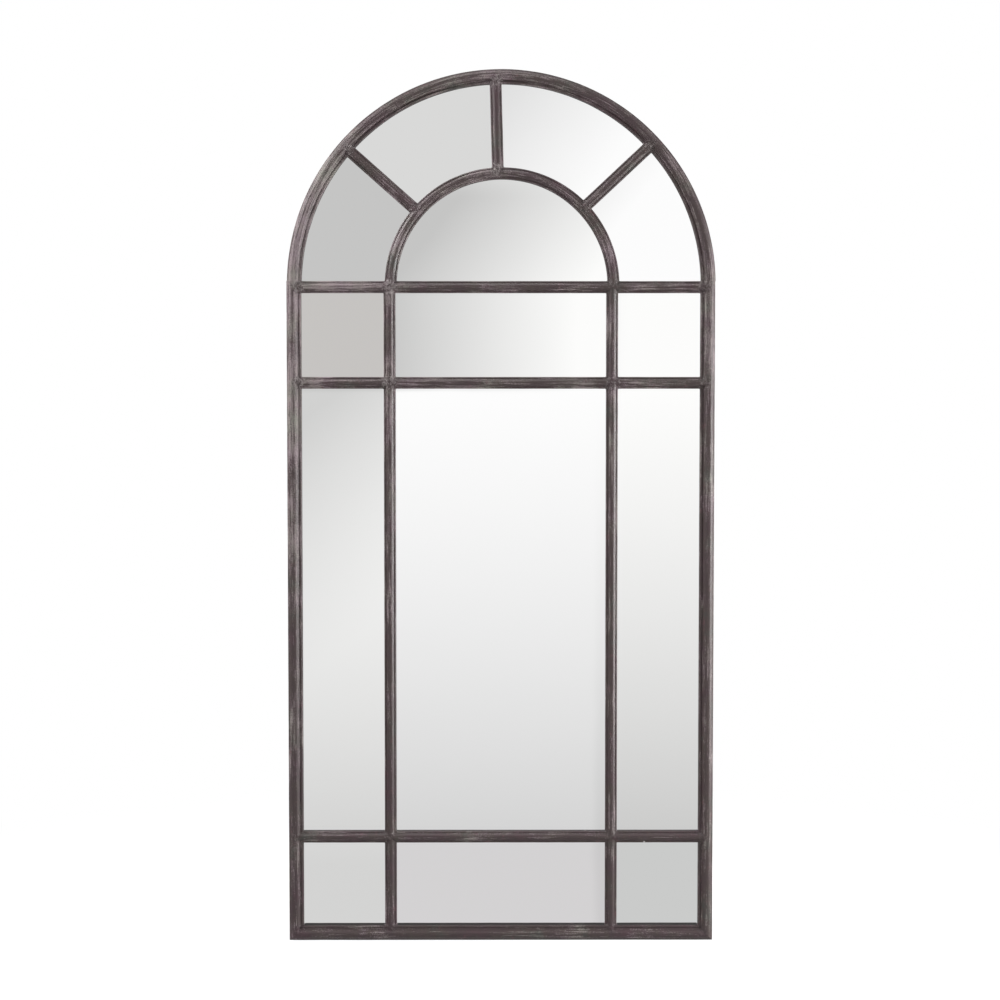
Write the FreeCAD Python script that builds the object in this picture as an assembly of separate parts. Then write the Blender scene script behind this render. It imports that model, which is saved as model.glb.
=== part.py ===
"""Arched window mirror: a welded lattice of hollow steel mouldings over fourteen mirror panes.

The frame is a half-round arch on two jambs and a base member, with glazing bars across it as in a fanlight
window. The panes are taped to a fibreboard that drops into the rebate behind the lattice and is held by
cranked clips. A cranked bar behind the board carries two hanging rings, and four rubber pads meet the wall.

Millimetres. X runs to the right, Z up, and the mirror faces -Y. The origin is under the middle of the base
member, half way between the front of the frame and the wall. Outlines are in (u, v): u runs across a member
in the plane of the glass, and v forwards from the plane that the glass bears on.
"""

import FreeCAD, Part

import math
import os

Vector = FreeCAD.Vector

# ---------------------------------------------------------------- overall form and glazing layout
FRAME_WIDTH = 800.0
SPRING_HEIGHT = 1235.0  # base of the frame to the line where the arch springs
MULLION_OFFSET = 208.0  # middle of the frame to a mullion's centre line, and the inner arch's radius
SPRING_RAIL_DROP = 3.0  # spring line down to the top rail's centre line
UPPER_ROW_PITCH = 178.5  # top rail down to the next rail
BASE_RAIL_HEIGHT = 197.0
SPOKE_ANGLES = {"right": 43.0, "top": 91.5, "left": 138.5}  # degrees from +X, as the photo shows them

# ---------------------------------------------------------------- outer moulding
OUTER_FACE = 27.0
OUTER_WALL = 1.5
REBATE_WIDTH = 8.5
REBATE_DEPTH = 13.0
OUTER_SHOULDER = 2.0  # flat beside the crown, on the outer edge
OUTER_CROWN_WIDTH = 19.0
OUTER_CROWN_RISE = 6.0

# ---------------------------------------------------------------- glazing bars
BAR_FACE = 22.0
BAR_WALL = 1.2
BAR_CROWN_WIDTH = 12.5
BAR_CROWN_RISE = 4.5

# ---------------------------------------------------------------- shared by both mouldings
SHOULDER_RISE = 8.0  # glass to the flat shoulders, the same all over so that they line up
EASED_EDGE = 1.2
WELD_GAP = 0.15  # fit-up gap where one member is coped to another

# ---------------------------------------------------------------- glass and backing
GLASS_THICKNESS = 3.0
PANE_GAP = 3.0  # between neighbouring panes, behind a bar
PANE_CLEARANCE = 1.5  # pane edge to rebate wall
TAPE_THICKNESS = 1.0
TAPE_WIDTH = 19.0
TAPE_PITCH = 66.0
TAPE_INSET = 9.0  # pane edge to the tape
TAPE_OFFCUT = 19.0  # a strip shorter than this is left off
BOARD_THICKNESS = 4.0
BOARD_CLEARANCE = 1.5

# ---------------------------------------------------------------- board clips
CLIP_THICKNESS = 1.5
CLIP_WIDTH = 14.0
CLIP_FOOT = 15.0  # along the board
CLIP_STEP_GAP = 0.5  # rebate wall to the clip's step
CLIP_EDGE_MARGIN = 5.0  # outer edge of the frame to the clip
JAMB_CLIPS = 4
BASE_CLIPS = 3
ARCH_CLIPS = 5
JAMB_CLIP_START = 110.0
BASE_CLIP_MARGIN = 130.0
ARCH_CLIP_START = 18.0  # degrees above the spring line

# ---------------------------------------------------------------- hanging bar, straps and rings
HANGING_BAR_DROP = 55.0  # spring line to the bar's centre line
HANGING_BAR_HEIGHT = 56.0
HANGING_BAR_THICKNESS = 2.5
BAR_SCREW_PITCH = 30.0
HANGER_SPACING = 340.0
STRAP_WIDTH = 16.0
STRAP_SHEET = 1.0  # the strap is this sheet folded double
STRAP_LENGTH = 46.0  # ring axis to the far end
STRAP_SCREW_START = 31.0  # ring axis to the first screw
STRAP_SCREW_PITCH = 10.0
RING_WIRE = 3.5
RING_BEND = 4.0
RING_INNER_WIDTH = 24.0
RING_INNER_HEIGHT = 20.0
RING_RUNNING_CLEARANCE = 0.08
RING_AXIS_RISE = 20.0  # hanging bar's centre line up to the ring axis
RING_LIE_GAP = 0.35  # ring to strap when it hangs folded down

# ---------------------------------------------------------------- screws and wall pads
SCREW_SHANK = 4.0
SCREW_HEAD = 7.6
SCREW_HEAD_HEIGHT = 2.2
SCREW_HEAD_RIM = 0.6
SCREW_LENGTH = 9.0  # under the head
SCREW_HOLE_CLEARANCE = 0.25
SCREW_THREAD_CLEARANCE = 0.05
RECESS_WIDTH = 0.9
RECESS_SPAN = 4.2
RECESS_DEPTH = 1.2
PAD_DIAMETER = 14.0
PAD_THICKNESS = 6.0
PAD_EASE = 1.2
BASE_PAD_MARGIN = 48.0
ARCH_PAD_ANGLE = 36.0

# ---------------------------------------------------------------- worked out from the sizes above
ARCH_RADIUS = FRAME_WIDTH / 2
FRAME_DEPTH = REBATE_DEPTH + SHOULDER_RISE + OUTER_CROWN_RISE
WALL_Y = (FRAME_DEPTH + PAD_THICKNESS) / 2
REAR_Y = WALL_Y - PAD_THICKNESS  # rear face of the frame
GLASS_Y = REAR_Y - REBATE_DEPTH  # front face of the panes
TAPE_Y = GLASS_Y + GLASS_THICKNESS
BOARD_Y = TAPE_Y + TAPE_THICKNESS
BOARD_REAR_Y = BOARD_Y + BOARD_THICKNESS
REBATE_WALL = OUTER_FACE - REBATE_WIDTH  # outer edge to the rebate's wall

TOP_RAIL_HEIGHT = SPRING_HEIGHT - SPRING_RAIL_DROP
UPPER_RAIL_HEIGHT = TOP_RAIL_HEIGHT - UPPER_ROW_PITCH
RAIL_HEIGHTS = {"spring": TOP_RAIL_HEIGHT, "upper": UPPER_RAIL_HEIGHT, "base": BASE_RAIL_HEIGHT}

HANGING_BAR_Z = SPRING_HEIGHT - HANGING_BAR_DROP
STRAP_Y = BOARD_REAR_Y + HANGING_BAR_THICKNESS
BARREL_BORE = RING_WIRE / 2 + RING_RUNNING_CLEARANCE
RING_AXIS_Y = STRAP_Y + STRAP_SHEET + BARREL_BORE
RING_AXIS_Z = HANGING_BAR_Z + RING_AXIS_RISE

PARTS = "parts"


# ---------------------------------------------------------------- drawing helpers
def face_from(outline, place):
    """A face from (u, v) runs: two points are a straight edge and three are an arc."""
    edges = []
    for run in outline:
        spots = [place(u, v) for u, v in run]
        if len(spots) == 3:
            edges.append(Part.Arc(*spots).toShape())
        else:
            edges.append(Part.makeLine(*spots))
    return Part.Face(Part.Wire(edges))


def closed_runs(points):
    """Straight runs round a polygon."""
    return [(points[i], points[(i + 1) % len(points)]) for i in range(len(points))]


def rounded(corner, before, after, radius):
    """A run that rounds a square corner: the arc from the side of before to the side of after."""
    (u, v), (bu, bv), (au, av) = corner, before, after
    into = (math.copysign(1, bu - u) if bu != u else 0, math.copysign(1, bv - v) if bv != v else 0)
    out = (math.copysign(1, au - u) if au != u else 0, math.copysign(1, av - v) if av != v else 0)
    start = (u + into[0] * radius, v + into[1] * radius)
    end = (u + out[0] * radius, v + out[1] * radius)
    centre = (start[0] + out[0] * radius, start[1] + out[1] * radius)
    lean = radius / math.sqrt(2)
    middle = (centre[0] - (into[0] + out[0]) * lean, centre[1] - (into[1] + out[1]) * lean)
    return start, middle, end


def crown_arc(width, rise, middle, inset):
    """The crown over the shoulders as (left end, top, right end), moved inwards by inset."""
    radius = ((width / 2) ** 2 + rise**2) / (2 * rise)
    centre = SHOULDER_RISE + rise - radius
    shoulder = SHOULDER_RISE - inset
    reach = math.sqrt((radius - inset) ** 2 - (shoulder - centre) ** 2)
    return (middle - reach, shoulder), (middle, centre + radius - inset), (middle + reach, shoulder)


def moulding_runs(points, crown, eased):
    """Runs from the foot points, over the two shoulders and the crown. Shoulder edges are eased if asked."""
    near, far = points[-1], points[0]
    near_shoulder, far_shoulder = (near[0], crown[0][1]), (far[0], crown[0][1])
    runs = [(points[i], points[i + 1]) for i in range(len(points) - 1)]
    if eased <= 0:
        runs += [(near, near_shoulder), (near_shoulder, crown[2])]
        runs += [(crown[2], crown[1], crown[0])]
        return runs + [(crown[0], far_shoulder), (far_shoulder, far)]
    start, middle, end = rounded(near_shoulder, near, crown[2], eased)
    runs += [(near, start), (start, middle, end), (end, crown[2]), (crown[2], crown[1], crown[0])]
    start, middle, end = rounded(far_shoulder, crown[0], far, eased)
    return runs + [(crown[0], start), (start, middle, end), (end, far)]


def bar_outline(inset=0.0):
    """Section of a glazing bar, centred on u = 0. A negative inset grows it."""
    half = BAR_FACE / 2 - inset
    crown = crown_arc(BAR_CROWN_WIDTH, BAR_CROWN_RISE, 0, inset)
    return moulding_runs([(-half, inset), (half, inset)], crown, EASED_EDGE - inset)


def outer_outline(inset=0.0):
    """Section of the outer moulding, with u from its outer edge inwards. A negative inset grows it."""
    middle = OUTER_SHOULDER + OUTER_CROWN_WIDTH / 2
    crown = crown_arc(OUTER_CROWN_WIDTH, OUTER_CROWN_RISE, middle, inset)
    foot = [
        (inset, inset - REBATE_DEPTH),
        (REBATE_WALL - inset, inset - REBATE_DEPTH),
        (REBATE_WALL - inset, inset),
        (OUTER_FACE - inset, inset),
    ]
    return moulding_runs(foot, crown, EASED_EDGE - inset)


def section(outline, origin, across):
    """A section face at origin, an (x, z) point, with u along the (x, z) direction across."""

    def place(u, v):
        return Vector(origin[0] + across[0] * u, GLASS_Y - v, origin[1] + across[1] * u)

    return face_from(outline, place)


def hollow(outline, wall, origin, across):
    """The section with its hollow cut out."""
    return section(outline(), origin, across).cut(section(outline(wall), origin, across)).Faces[0]


def straight(face, start, end):
    return face.extrude(Vector(end[0] - start[0], 0, end[1] - start[1]))


def half_turn(face):
    """A section at the right springing swept over the arch to the left one."""
    return face.revolve(Vector(0, 0, SPRING_HEIGHT), Vector(0, -1, 0), 180)


def slab(outline, front, thickness):
    """An (x, z) outline as a flat solid from its front face back."""
    face = face_from(outline, lambda x, z: Vector(x, front, z))
    return face.extrude(Vector(0, thickness, 0))


def arched_outline(inset):
    """The frame's outline moved inwards by inset, as (x, z) runs."""
    half = FRAME_WIDTH / 2 - inset
    return [
        ((-half, inset), (half, inset)),
        ((half, inset), (half, SPRING_HEIGHT)),
        ((half, SPRING_HEIGHT), (0, SPRING_HEIGHT + half), (-half, SPRING_HEIGHT)),
        ((-half, SPRING_HEIGHT), (-half, inset)),
    ]


def drill(radius, x, z, front, rear):
    """A cylinder along Y, for a hole or a shank."""
    return Part.makeCylinder(radius, rear - front, Vector(x, front, z), Vector(0, 1, 0))


def one_solid(shape, name):
    if len(shape.Solids) != 1:
        raise ValueError(f"{name} came out as {len(shape.Solids)} solids")
    return shape.Solids[0]


# ---------------------------------------------------------------- the members as whole envelopes
def outer_envelopes():
    """The outer members grown by the weld gap and without their hollows, to cope the bars to."""
    grown = outer_outline(-WELD_GAP)
    half = FRAME_WIDTH / 2
    left = straight(section(grown, (-half, 0), (1, 0)), (0, 0), (0, SPRING_HEIGHT))
    right = straight(section(grown, (half, 0), (-1, 0)), (0, 0), (0, SPRING_HEIGHT))
    base = straight(section(grown, (-half, 0), (0, 1)), (-half, 0), (half, 0))
    arch = half_turn(section(grown, (half, SPRING_HEIGHT), (-1, 0)))
    return {"left": left, "right": right, "base": base, "arch": arch}


def bar_envelopes():
    """The mullions and the inner arch, grown by the weld gap."""
    grown = bar_outline(-WELD_GAP)
    span = ((0, 0), (0, SPRING_HEIGHT))
    left = straight(section(grown, (-MULLION_OFFSET, 0), (1, 0)), *span)
    right = straight(section(grown, (MULLION_OFFSET, 0), (1, 0)), *span)
    arch = half_turn(section(grown, (MULLION_OFFSET, SPRING_HEIGHT), (1, 0)))
    return {"left": left, "right": right, "arch": arch}


# ---------------------------------------------------------------- outer frame
def jamb(side):
    """side is -1 for the left jamb. Its foot is mitred into the base member."""
    edge, inner = side * FRAME_WIDTH / 2, side * (FRAME_WIDTH / 2 - OUTER_FACE)
    tube = straight(hollow(outer_outline, OUTER_WALL, (edge, 0), (-side, 0)), (0, 0), (0, SPRING_HEIGHT))
    mitred = [(edge, 0), (inner, OUTER_FACE), (inner, SPRING_HEIGHT), (edge, SPRING_HEIGHT)]
    return tube.common(slab(closed_runs(mitred), -FRAME_DEPTH, 2 * FRAME_DEPTH))


def base_member():
    half, inner = FRAME_WIDTH / 2, FRAME_WIDTH / 2 - OUTER_FACE
    tube = straight(hollow(outer_outline, OUTER_WALL, (-half, 0), (0, 1)), (-half, 0), (half, 0))
    mitred = [(-half, 0), (half, 0), (inner, OUTER_FACE), (-inner, OUTER_FACE)]
    return tube.common(slab(closed_runs(mitred), -FRAME_DEPTH, 2 * FRAME_DEPTH))


def outer_arch():
    return half_turn(hollow(outer_outline, OUTER_WALL, (ARCH_RADIUS, SPRING_HEIGHT), (-1, 0)))


# ---------------------------------------------------------------- glazing bars
def glazing_bar(start, end):
    """A straight bar between two (x, z) points, not yet coped."""
    run = (end[0] - start[0], end[1] - start[1])
    length = math.hypot(*run)
    across = (run[1] / length, -run[0] / length)
    return straight(hollow(bar_outline, BAR_WALL, start, across), start, end)


def mullion(side, outer):
    foot, head = (side * MULLION_OFFSET, OUTER_FACE / 2), (side * MULLION_OFFSET, SPRING_HEIGHT)
    return glazing_bar(foot, head).cut(outer["base"])


def inner_arch():
    return half_turn(hollow(bar_outline, BAR_WALL, (MULLION_OFFSET, SPRING_HEIGHT), (1, 0)))


def rail_lengths(height, outer, bars):
    """The three lengths of a rail, each coped to the members at its ends."""
    edge = FRAME_WIDTH / 2 - OUTER_FACE / 2
    stations = [-edge, -MULLION_OFFSET, MULLION_OFFSET, edge]
    ends = [outer["left"], outer["right"], outer["arch"], bars["left"], bars["right"], bars["arch"]]
    lengths = {}
    for i, name in enumerate(("left", "centre", "right")):
        lengths[name] = glazing_bar((stations[i], height), (stations[i + 1], height)).cut(ends)
    return lengths


def spoke(angle, outer, bars):
    way = (math.cos(math.radians(angle)), math.sin(math.radians(angle)))
    near, far = MULLION_OFFSET, ARCH_RADIUS - OUTER_FACE / 2
    start = (way[0] * near, SPRING_HEIGHT + way[1] * near)
    end = (way[0] * far, SPRING_HEIGHT + way[1] * far)
    return glazing_bar(start, end).cut([bars["arch"], outer["arch"]])


# ---------------------------------------------------------------- panes, tape and board
def gap_strips(width, front, thickness):
    """The lines between the panes, along every bar's centre line, as strips of one width."""
    half, reach = width / 2, FRAME_WIDTH
    strips = []

    def strip(points):
        strips.append(slab(closed_runs(points), front, thickness))

    for side in (-1, 1):
        x = side * MULLION_OFFSET
        strip([(x - half, -reach), (x + half, -reach), (x + half, SPRING_HEIGHT), (x - half, SPRING_HEIGHT)])
    for z in RAIL_HEIGHTS.values():
        strip([(-reach, z - half), (reach, z - half), (reach, z + half), (-reach, z + half)])
    for angle in SPOKE_ANGLES.values():
        c, s = math.cos(math.radians(angle)), math.sin(math.radians(angle))

        def along(distance, aside):
            return (c * distance - s * aside, SPRING_HEIGHT + s * distance + c * aside)

        near, far = MULLION_OFFSET, reach
        strip([along(near, -half), along(far, -half), along(far, half), along(near, half)])
    inner, outer = MULLION_OFFSET - half, MULLION_OFFSET + half
    ring = [
        ((inner, SPRING_HEIGHT), (outer, SPRING_HEIGHT)),
        ((outer, SPRING_HEIGHT), (0, SPRING_HEIGHT + outer), (-outer, SPRING_HEIGHT)),
        ((-outer, SPRING_HEIGHT), (-inner, SPRING_HEIGHT)),
        ((-inner, SPRING_HEIGHT), (0, SPRING_HEIGHT + inner), (inner, SPRING_HEIGHT)),
    ]
    return strips + [slab(ring, front, thickness)]


def pane_field(gap, front, thickness):
    """The glazed field with gaps along the bars, as one separate solid for each pane."""
    inset = REBATE_WALL + PANE_CLEARANCE + (gap - PANE_GAP) / 2
    field = slab(arched_outline(inset), front, thickness)
    return field.cut(gap_strips(gap, front, thickness)).Solids


def pane_centres():
    """A point inside each pane, by name."""
    edge = FRAME_WIDTH / 2 - REBATE_WALL
    columns = {"left": -(MULLION_OFFSET + edge) / 2, "centre": 0, "right": (MULLION_OFFSET + edge) / 2}
    rows = {
        "base": (REBATE_WALL + BASE_RAIL_HEIGHT) / 2,
        "tall": (BASE_RAIL_HEIGHT + UPPER_RAIL_HEIGHT) / 2,
        "upper": (UPPER_RAIL_HEIGHT + TOP_RAIL_HEIGHT) / 2,
    }
    centres = {f"pane_{row}_{side}": (x, z) for row, z in rows.items() for side, x in columns.items()}
    centres["pane_arch_centre"] = (0, SPRING_HEIGHT + MULLION_OFFSET / 2)
    middle = (MULLION_OFFSET + edge) / 2
    right, top, left = (SPOKE_ANGLES[k] for k in ("right", "top", "left"))
    fan = {"right_low": right / 2, "right_high": (right + top) / 2}
    fan.update({"left_high": (top + left) / 2, "left_low": (left + 180) / 2})
    for name, angle in fan.items():
        c, s = math.cos(math.radians(angle)), math.sin(math.radians(angle))
        centres[f"pane_fan_{name}"] = (middle * c, SPRING_HEIGHT + middle * s)
    return centres


def panes():
    field = pane_field(PANE_GAP, GLASS_Y, GLASS_THICKNESS)
    found = {}
    for name, (x, z) in pane_centres().items():
        middle = Vector(x, GLASS_Y + GLASS_THICKNESS / 2, z)
        found[name] = next(s for s in field if s.isInside(middle, 0.01, True))
    return found


def mounting_tape():
    """Upright strips of double-sided foam tape behind each pane."""
    beds = pane_field(PANE_GAP + 2 * TAPE_INSET, TAPE_Y, TAPE_THICKNESS)
    half_count = int((FRAME_WIDTH / 2 - REBATE_WALL - TAPE_INSET) // TAPE_PITCH)
    strips = []
    for i in range(-half_count, half_count + 1):
        low, high = i * TAPE_PITCH - TAPE_WIDTH / 2, i * TAPE_PITCH + TAPE_WIDTH / 2
        top = SPRING_HEIGHT + ARCH_RADIUS
        column = slab(closed_runs([(low, 0), (high, 0), (high, top), (low, top)]), TAPE_Y, TAPE_THICKNESS)
        for bed in beds:
            strips += bed.common(column).Solids
    return [s for s in strips if s.Volume > TAPE_WIDTH * TAPE_OFFCUT * TAPE_THICKNESS]


def backing_board():
    return slab(arched_outline(REBATE_WALL + BOARD_CLEARANCE), BOARD_Y, BOARD_THICKNESS)


# ---------------------------------------------------------------- screws
def screw(x, z, seat_y, length):
    """A pan-head screw driven forwards, with its head on seat_y: a short rim under a shallow dome."""
    head, shank = SCREW_HEAD / 2, SCREW_SHANK / 2
    rise = SCREW_HEAD_HEIGHT - SCREW_HEAD_RIM
    dome = (head**2 + rise**2) / (2 * rise)
    side = SCREW_HEAD_HEIGHT - dome + math.sqrt(dome**2 - (head / 2) ** 2)
    outline = [
        ((0, -length), (shank, -length)),
        ((shank, -length), (shank, 0)),
        ((shank, 0), (head, 0)),
        ((head, 0), (head, SCREW_HEAD_RIM)),
        ((head, SCREW_HEAD_RIM), (head / 2, side), (0, SCREW_HEAD_HEIGHT)),
        ((0, SCREW_HEAD_HEIGHT), (0, -length)),
    ]
    c = s = math.sqrt(0.5)
    turned = face_from(outline, lambda r, h: Vector(x + r * c, seat_y + h, z + r * s))
    body = turned.revolve(Vector(x, 0, z), Vector(0, 1, 0), 360)
    bottom = seat_y + SCREW_HEAD_HEIGHT - RECESS_DEPTH
    slots = []
    for wide, tall in ((RECESS_SPAN, RECESS_WIDTH), (RECESS_WIDTH, RECESS_SPAN)):
        slots.append(Part.makeBox(wide, SCREW_HEAD_HEIGHT, tall, Vector(x - wide / 2, bottom, z - tall / 2)))
    return body.cut(slots[0].fuse(slots[1]))


# ---------------------------------------------------------------- board clips
def edge_stations():
    """Where the clips go: (point on the frame's outer edge, inward direction), both (x, z)."""
    half = FRAME_WIDTH / 2
    stations = []
    top = HANGING_BAR_Z - HANGING_BAR_HEIGHT
    pitch = (top - JAMB_CLIP_START) / JAMB_CLIPS
    for side in (-1, 1):
        for i in range(JAMB_CLIPS):
            stations.append(((side * half, JAMB_CLIP_START + i * pitch), (-side, 0)))
    reach = half - BASE_CLIP_MARGIN
    for i in range(BASE_CLIPS):
        stations.append(((-reach + i * 2 * reach / (BASE_CLIPS - 1), 0), (0, 1)))
    sweep = 180 - 2 * ARCH_CLIP_START
    for i in range(ARCH_CLIPS):
        angle = math.radians(ARCH_CLIP_START + i * sweep / (ARCH_CLIPS - 1))
        c, s = math.cos(angle), math.sin(angle)
        stations.append(((ARCH_RADIUS * c, SPRING_HEIGHT + ARCH_RADIUS * s), (-c, -s)))
    return stations


def cranked_profile(flange_start, thickness, foot):
    """Side view of a joggled strip as (distance in from the outer edge, y).

    Its flange lies on the frame and its foot on the board.
    """
    step = REBATE_WALL + CLIP_STEP_GAP
    return [
        (flange_start, REAR_Y),
        (step, REAR_Y),
        (step, BOARD_REAR_Y),
        (step + foot, BOARD_REAR_Y),
        (step + foot, BOARD_REAR_Y + thickness),
        (step + thickness, BOARD_REAR_Y + thickness),
        (step + thickness, REAR_Y + thickness),
        (flange_start, REAR_Y + thickness),
    ]


def clip_screw_inset():
    """Outer edge of the frame to a clip's screw."""
    return (CLIP_EDGE_MARGIN + REBATE_WALL) / 2


def clip(edge, inward):
    """One cranked clip, square to the frame's edge at a station."""
    along = (-inward[1], inward[0])
    start = (edge[0] - along[0] * CLIP_WIDTH / 2, edge[1] - along[1] * CLIP_WIDTH / 2)
    profile = closed_runs(cranked_profile(CLIP_EDGE_MARGIN, CLIP_THICKNESS, CLIP_FOOT))
    face = face_from(profile, lambda p, y: Vector(start[0] + inward[0] * p, y, start[1] + inward[1] * p))
    body = face.extrude(Vector(along[0] * CLIP_WIDTH, 0, along[1] * CLIP_WIDTH))
    x, z = edge[0] + inward[0] * clip_screw_inset(), edge[1] + inward[1] * clip_screw_inset()
    return body.cut(drill(SCREW_SHANK / 2 + SCREW_HOLE_CLEARANCE, x, z, REAR_Y, REAR_Y + CLIP_THICKNESS))


def clip_screw_places():
    inset = clip_screw_inset()
    return [(e[0] + i[0] * inset, e[1] + i[1] * inset) for e, i in edge_stations()]


# ---------------------------------------------------------------- hanging bar and straps
def bar_screw_places():
    x = FRAME_WIDTH / 2 - clip_screw_inset()
    return [(s * x, HANGING_BAR_Z + d * BAR_SCREW_PITCH / 2) for s in (-1, 1) for d in (-1, 1)]


def strap_screw_places(side):
    x = side * HANGER_SPACING / 2
    starts = (STRAP_SCREW_START, STRAP_SCREW_START + STRAP_SCREW_PITCH)
    return [(x, RING_AXIS_Z - start) for start in starts]


def hanging_bar():
    """The flat bar across the back: cranked at both ends onto the jambs, its middle flat on the board."""
    foot = FRAME_WIDTH / 2 - REBATE_WALL - CLIP_STEP_GAP
    low = HANGING_BAR_Z - HANGING_BAR_HEIGHT / 2
    profile = closed_runs(cranked_profile(CLIP_EDGE_MARGIN, HANGING_BAR_THICKNESS, foot))
    face = face_from(profile, lambda p, y: Vector(p - FRAME_WIDTH / 2, y, low))
    half = face.extrude(Vector(0, 0, HANGING_BAR_HEIGHT))
    whole = half.fuse(half.mirror(Vector(0, 0, 0), Vector(1, 0, 0))).removeSplitter()
    clear, tapped = SCREW_SHANK / 2 + SCREW_HOLE_CLEARANCE, SCREW_SHANK / 2 + SCREW_THREAD_CLEARANCE
    holes = [drill(clear, x, z, REAR_Y, REAR_Y + HANGING_BAR_THICKNESS) for x, z in bar_screw_places()]
    for side in (-1, 1):
        holes += [drill(tapped, x, z, BOARD_REAR_Y, STRAP_Y) for x, z in strap_screw_places(side)]
    return whole.cut(holes)


def bulge_point(barrel):
    """A point on the barrel's lower rear quarter, between its rearmost line and the neck."""
    lean = barrel / math.sqrt(2)
    return RING_AXIS_Y + lean, RING_AXIS_Z - lean


def strap(side):
    """Sheet folded double round the ring's wire, with a rounded end."""
    x, barrel = side * HANGER_SPACING / 2, BARREL_BORE + STRAP_SHEET
    left, right = x - STRAP_WIDTH / 2, x + STRAP_WIDTH / 2
    rear = STRAP_Y + 2 * STRAP_SHEET
    neck = RING_AXIS_Z - math.sqrt(barrel**2 - (rear - RING_AXIS_Y) ** 2)
    end = RING_AXIS_Z - STRAP_LENGTH
    side_view = [
        ((STRAP_Y, end), (STRAP_Y, RING_AXIS_Z)),
        ((STRAP_Y, RING_AXIS_Z), (RING_AXIS_Y, RING_AXIS_Z + barrel), (RING_AXIS_Y + barrel, RING_AXIS_Z)),
        ((RING_AXIS_Y + barrel, RING_AXIS_Z), bulge_point(barrel), (rear, neck)),
        ((rear, neck), (rear, end)),
        ((rear, end), (STRAP_Y, end)),
    ]
    body = face_from(side_view, lambda y, z: Vector(left, y, z)).extrude(Vector(STRAP_WIDTH, 0, 0))
    top, bend = RING_AXIS_Z + 2 * barrel, end + STRAP_WIDTH / 2
    plan = [
        ((left, top), (left, bend)),
        ((left, bend), (x, end), (right, bend)),
        ((right, bend), (right, top)),
        ((right, top), (left, top)),
    ]
    body = body.common(slab(plan, STRAP_Y, 2 * barrel))
    start = Vector(left, RING_AXIS_Y, RING_AXIS_Z)
    bore = Part.makeCylinder(BARREL_BORE, STRAP_WIDTH, start, Vector(1, 0, 0))
    clear = SCREW_SHANK / 2 + SCREW_HOLE_CLEARANCE
    holes = [drill(clear, sx, sz, STRAP_Y, rear) for sx, sz in strap_screw_places(side)]
    return body.cut([bore] + holes)


def rod(edge):
    """Round wire along one edge."""
    start, heading = edge.valueAt(edge.FirstParameter), edge.tangentAt(edge.FirstParameter)
    circle = Part.Wire([Part.makeCircle(RING_WIRE / 2, start, heading)])
    return Part.Wire([edge]).makePipeShell([circle], True, True)


def ring(side):
    """A D-shaped wire ring through the strap's barrel, hanging down with its bow just off the strap."""
    half, drop = (RING_INNER_WIDTH + RING_WIRE) / 2, RING_INNER_HEIGHT + RING_WIRE
    corner, lean = half - RING_BEND, RING_BEND / math.sqrt(2)
    bow = drop - half

    def at(x, down):
        return Vector(side * HANGER_SPACING / 2 + x, RING_AXIS_Y, RING_AXIS_Z - down)

    edges = [Part.makeLine(at(-corner, 0), at(corner, 0))]
    for s in (-1, 1):
        bend = at(s * (corner + lean), RING_BEND - lean)
        edges.append(Part.Arc(at(s * corner, 0), bend, at(s * half, RING_BEND)).toShape())
        edges.append(Part.makeLine(at(s * half, RING_BEND), at(s * half, bow)))
    edges.append(Part.Arc(at(-half, bow), at(0, drop), at(half, bow)).toShape())
    rods = [rod(edge) for edge in edges]
    whole = rods[0].fuse(rods[1:]).removeSplitter()
    rise = STRAP_SHEET + RING_LIE_GAP - RING_RUNNING_CLEARANCE
    whole.rotate(at(0, 0), Vector(1, 0, 0), math.degrees(math.asin(rise / drop)))
    return whole


# ---------------------------------------------------------------- wall pads
def pad_places():
    middle = REBATE_WALL / 2
    base = FRAME_WIDTH / 2 - BASE_PAD_MARGIN
    places = [(-base, middle), (base, middle)]
    for angle in (ARCH_PAD_ANGLE, 180 - ARCH_PAD_ANGLE):
        c, s = math.cos(math.radians(angle)), math.sin(math.radians(angle))
        places.append(((ARCH_RADIUS - middle) * c, SPRING_HEIGHT + (ARCH_RADIUS - middle) * s))
    return places


def wall_pad(x, z):
    radius = PAD_DIAMETER / 2
    body = drill(radius, x, z, REAR_Y, WALL_Y - PAD_EASE)
    way = Vector(0, 1, 0)
    return body.fuse(Part.makeCone(radius, radius - PAD_EASE, PAD_EASE, Vector(x, WALL_Y - PAD_EASE, z), way))


# ---------------------------------------------------------------- the whole mirror
def frame_nodes():
    outer, bars = outer_envelopes(), bar_envelopes()
    tapped = SCREW_SHANK / 2 + SCREW_THREAD_CLEARANCE
    places = clip_screw_places() + bar_screw_places()
    holes = [drill(tapped, x, z, REAR_Y - 2 * OUTER_WALL, REAR_Y) for x, z in places]
    nodes = {
        "outer_arch": outer_arch().cut(holes),
        "left_jamb": jamb(-1).cut(holes),
        "right_jamb": jamb(1).cut(holes),
        "base_member": base_member().cut(holes),
        "left_mullion": mullion(-1, outer),
        "right_mullion": mullion(1, outer),
        "inner_arch": inner_arch(),
    }
    for row, height in RAIL_HEIGHTS.items():
        for side, length in rail_lengths(height, outer, bars).items():
            nodes[f"{row}_rail_{side}"] = length
    for name, angle in SPOKE_ANGLES.items():
        nodes[f"{name}_spoke"] = spoke(angle, outer, bars)
    return nodes


def backing_nodes():
    nodes = {"backing_board": backing_board(), "hanging_bar": hanging_bar()}
    for name, side in (("left", -1), ("right", 1)):
        nodes[f"{name}_strap"] = strap(side)
        nodes[f"{name}_ring"] = ring(side)
    return nodes


def screws(places, seat_y, length):
    return [screw(x, z, seat_y, length) for x, z in places]


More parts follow.
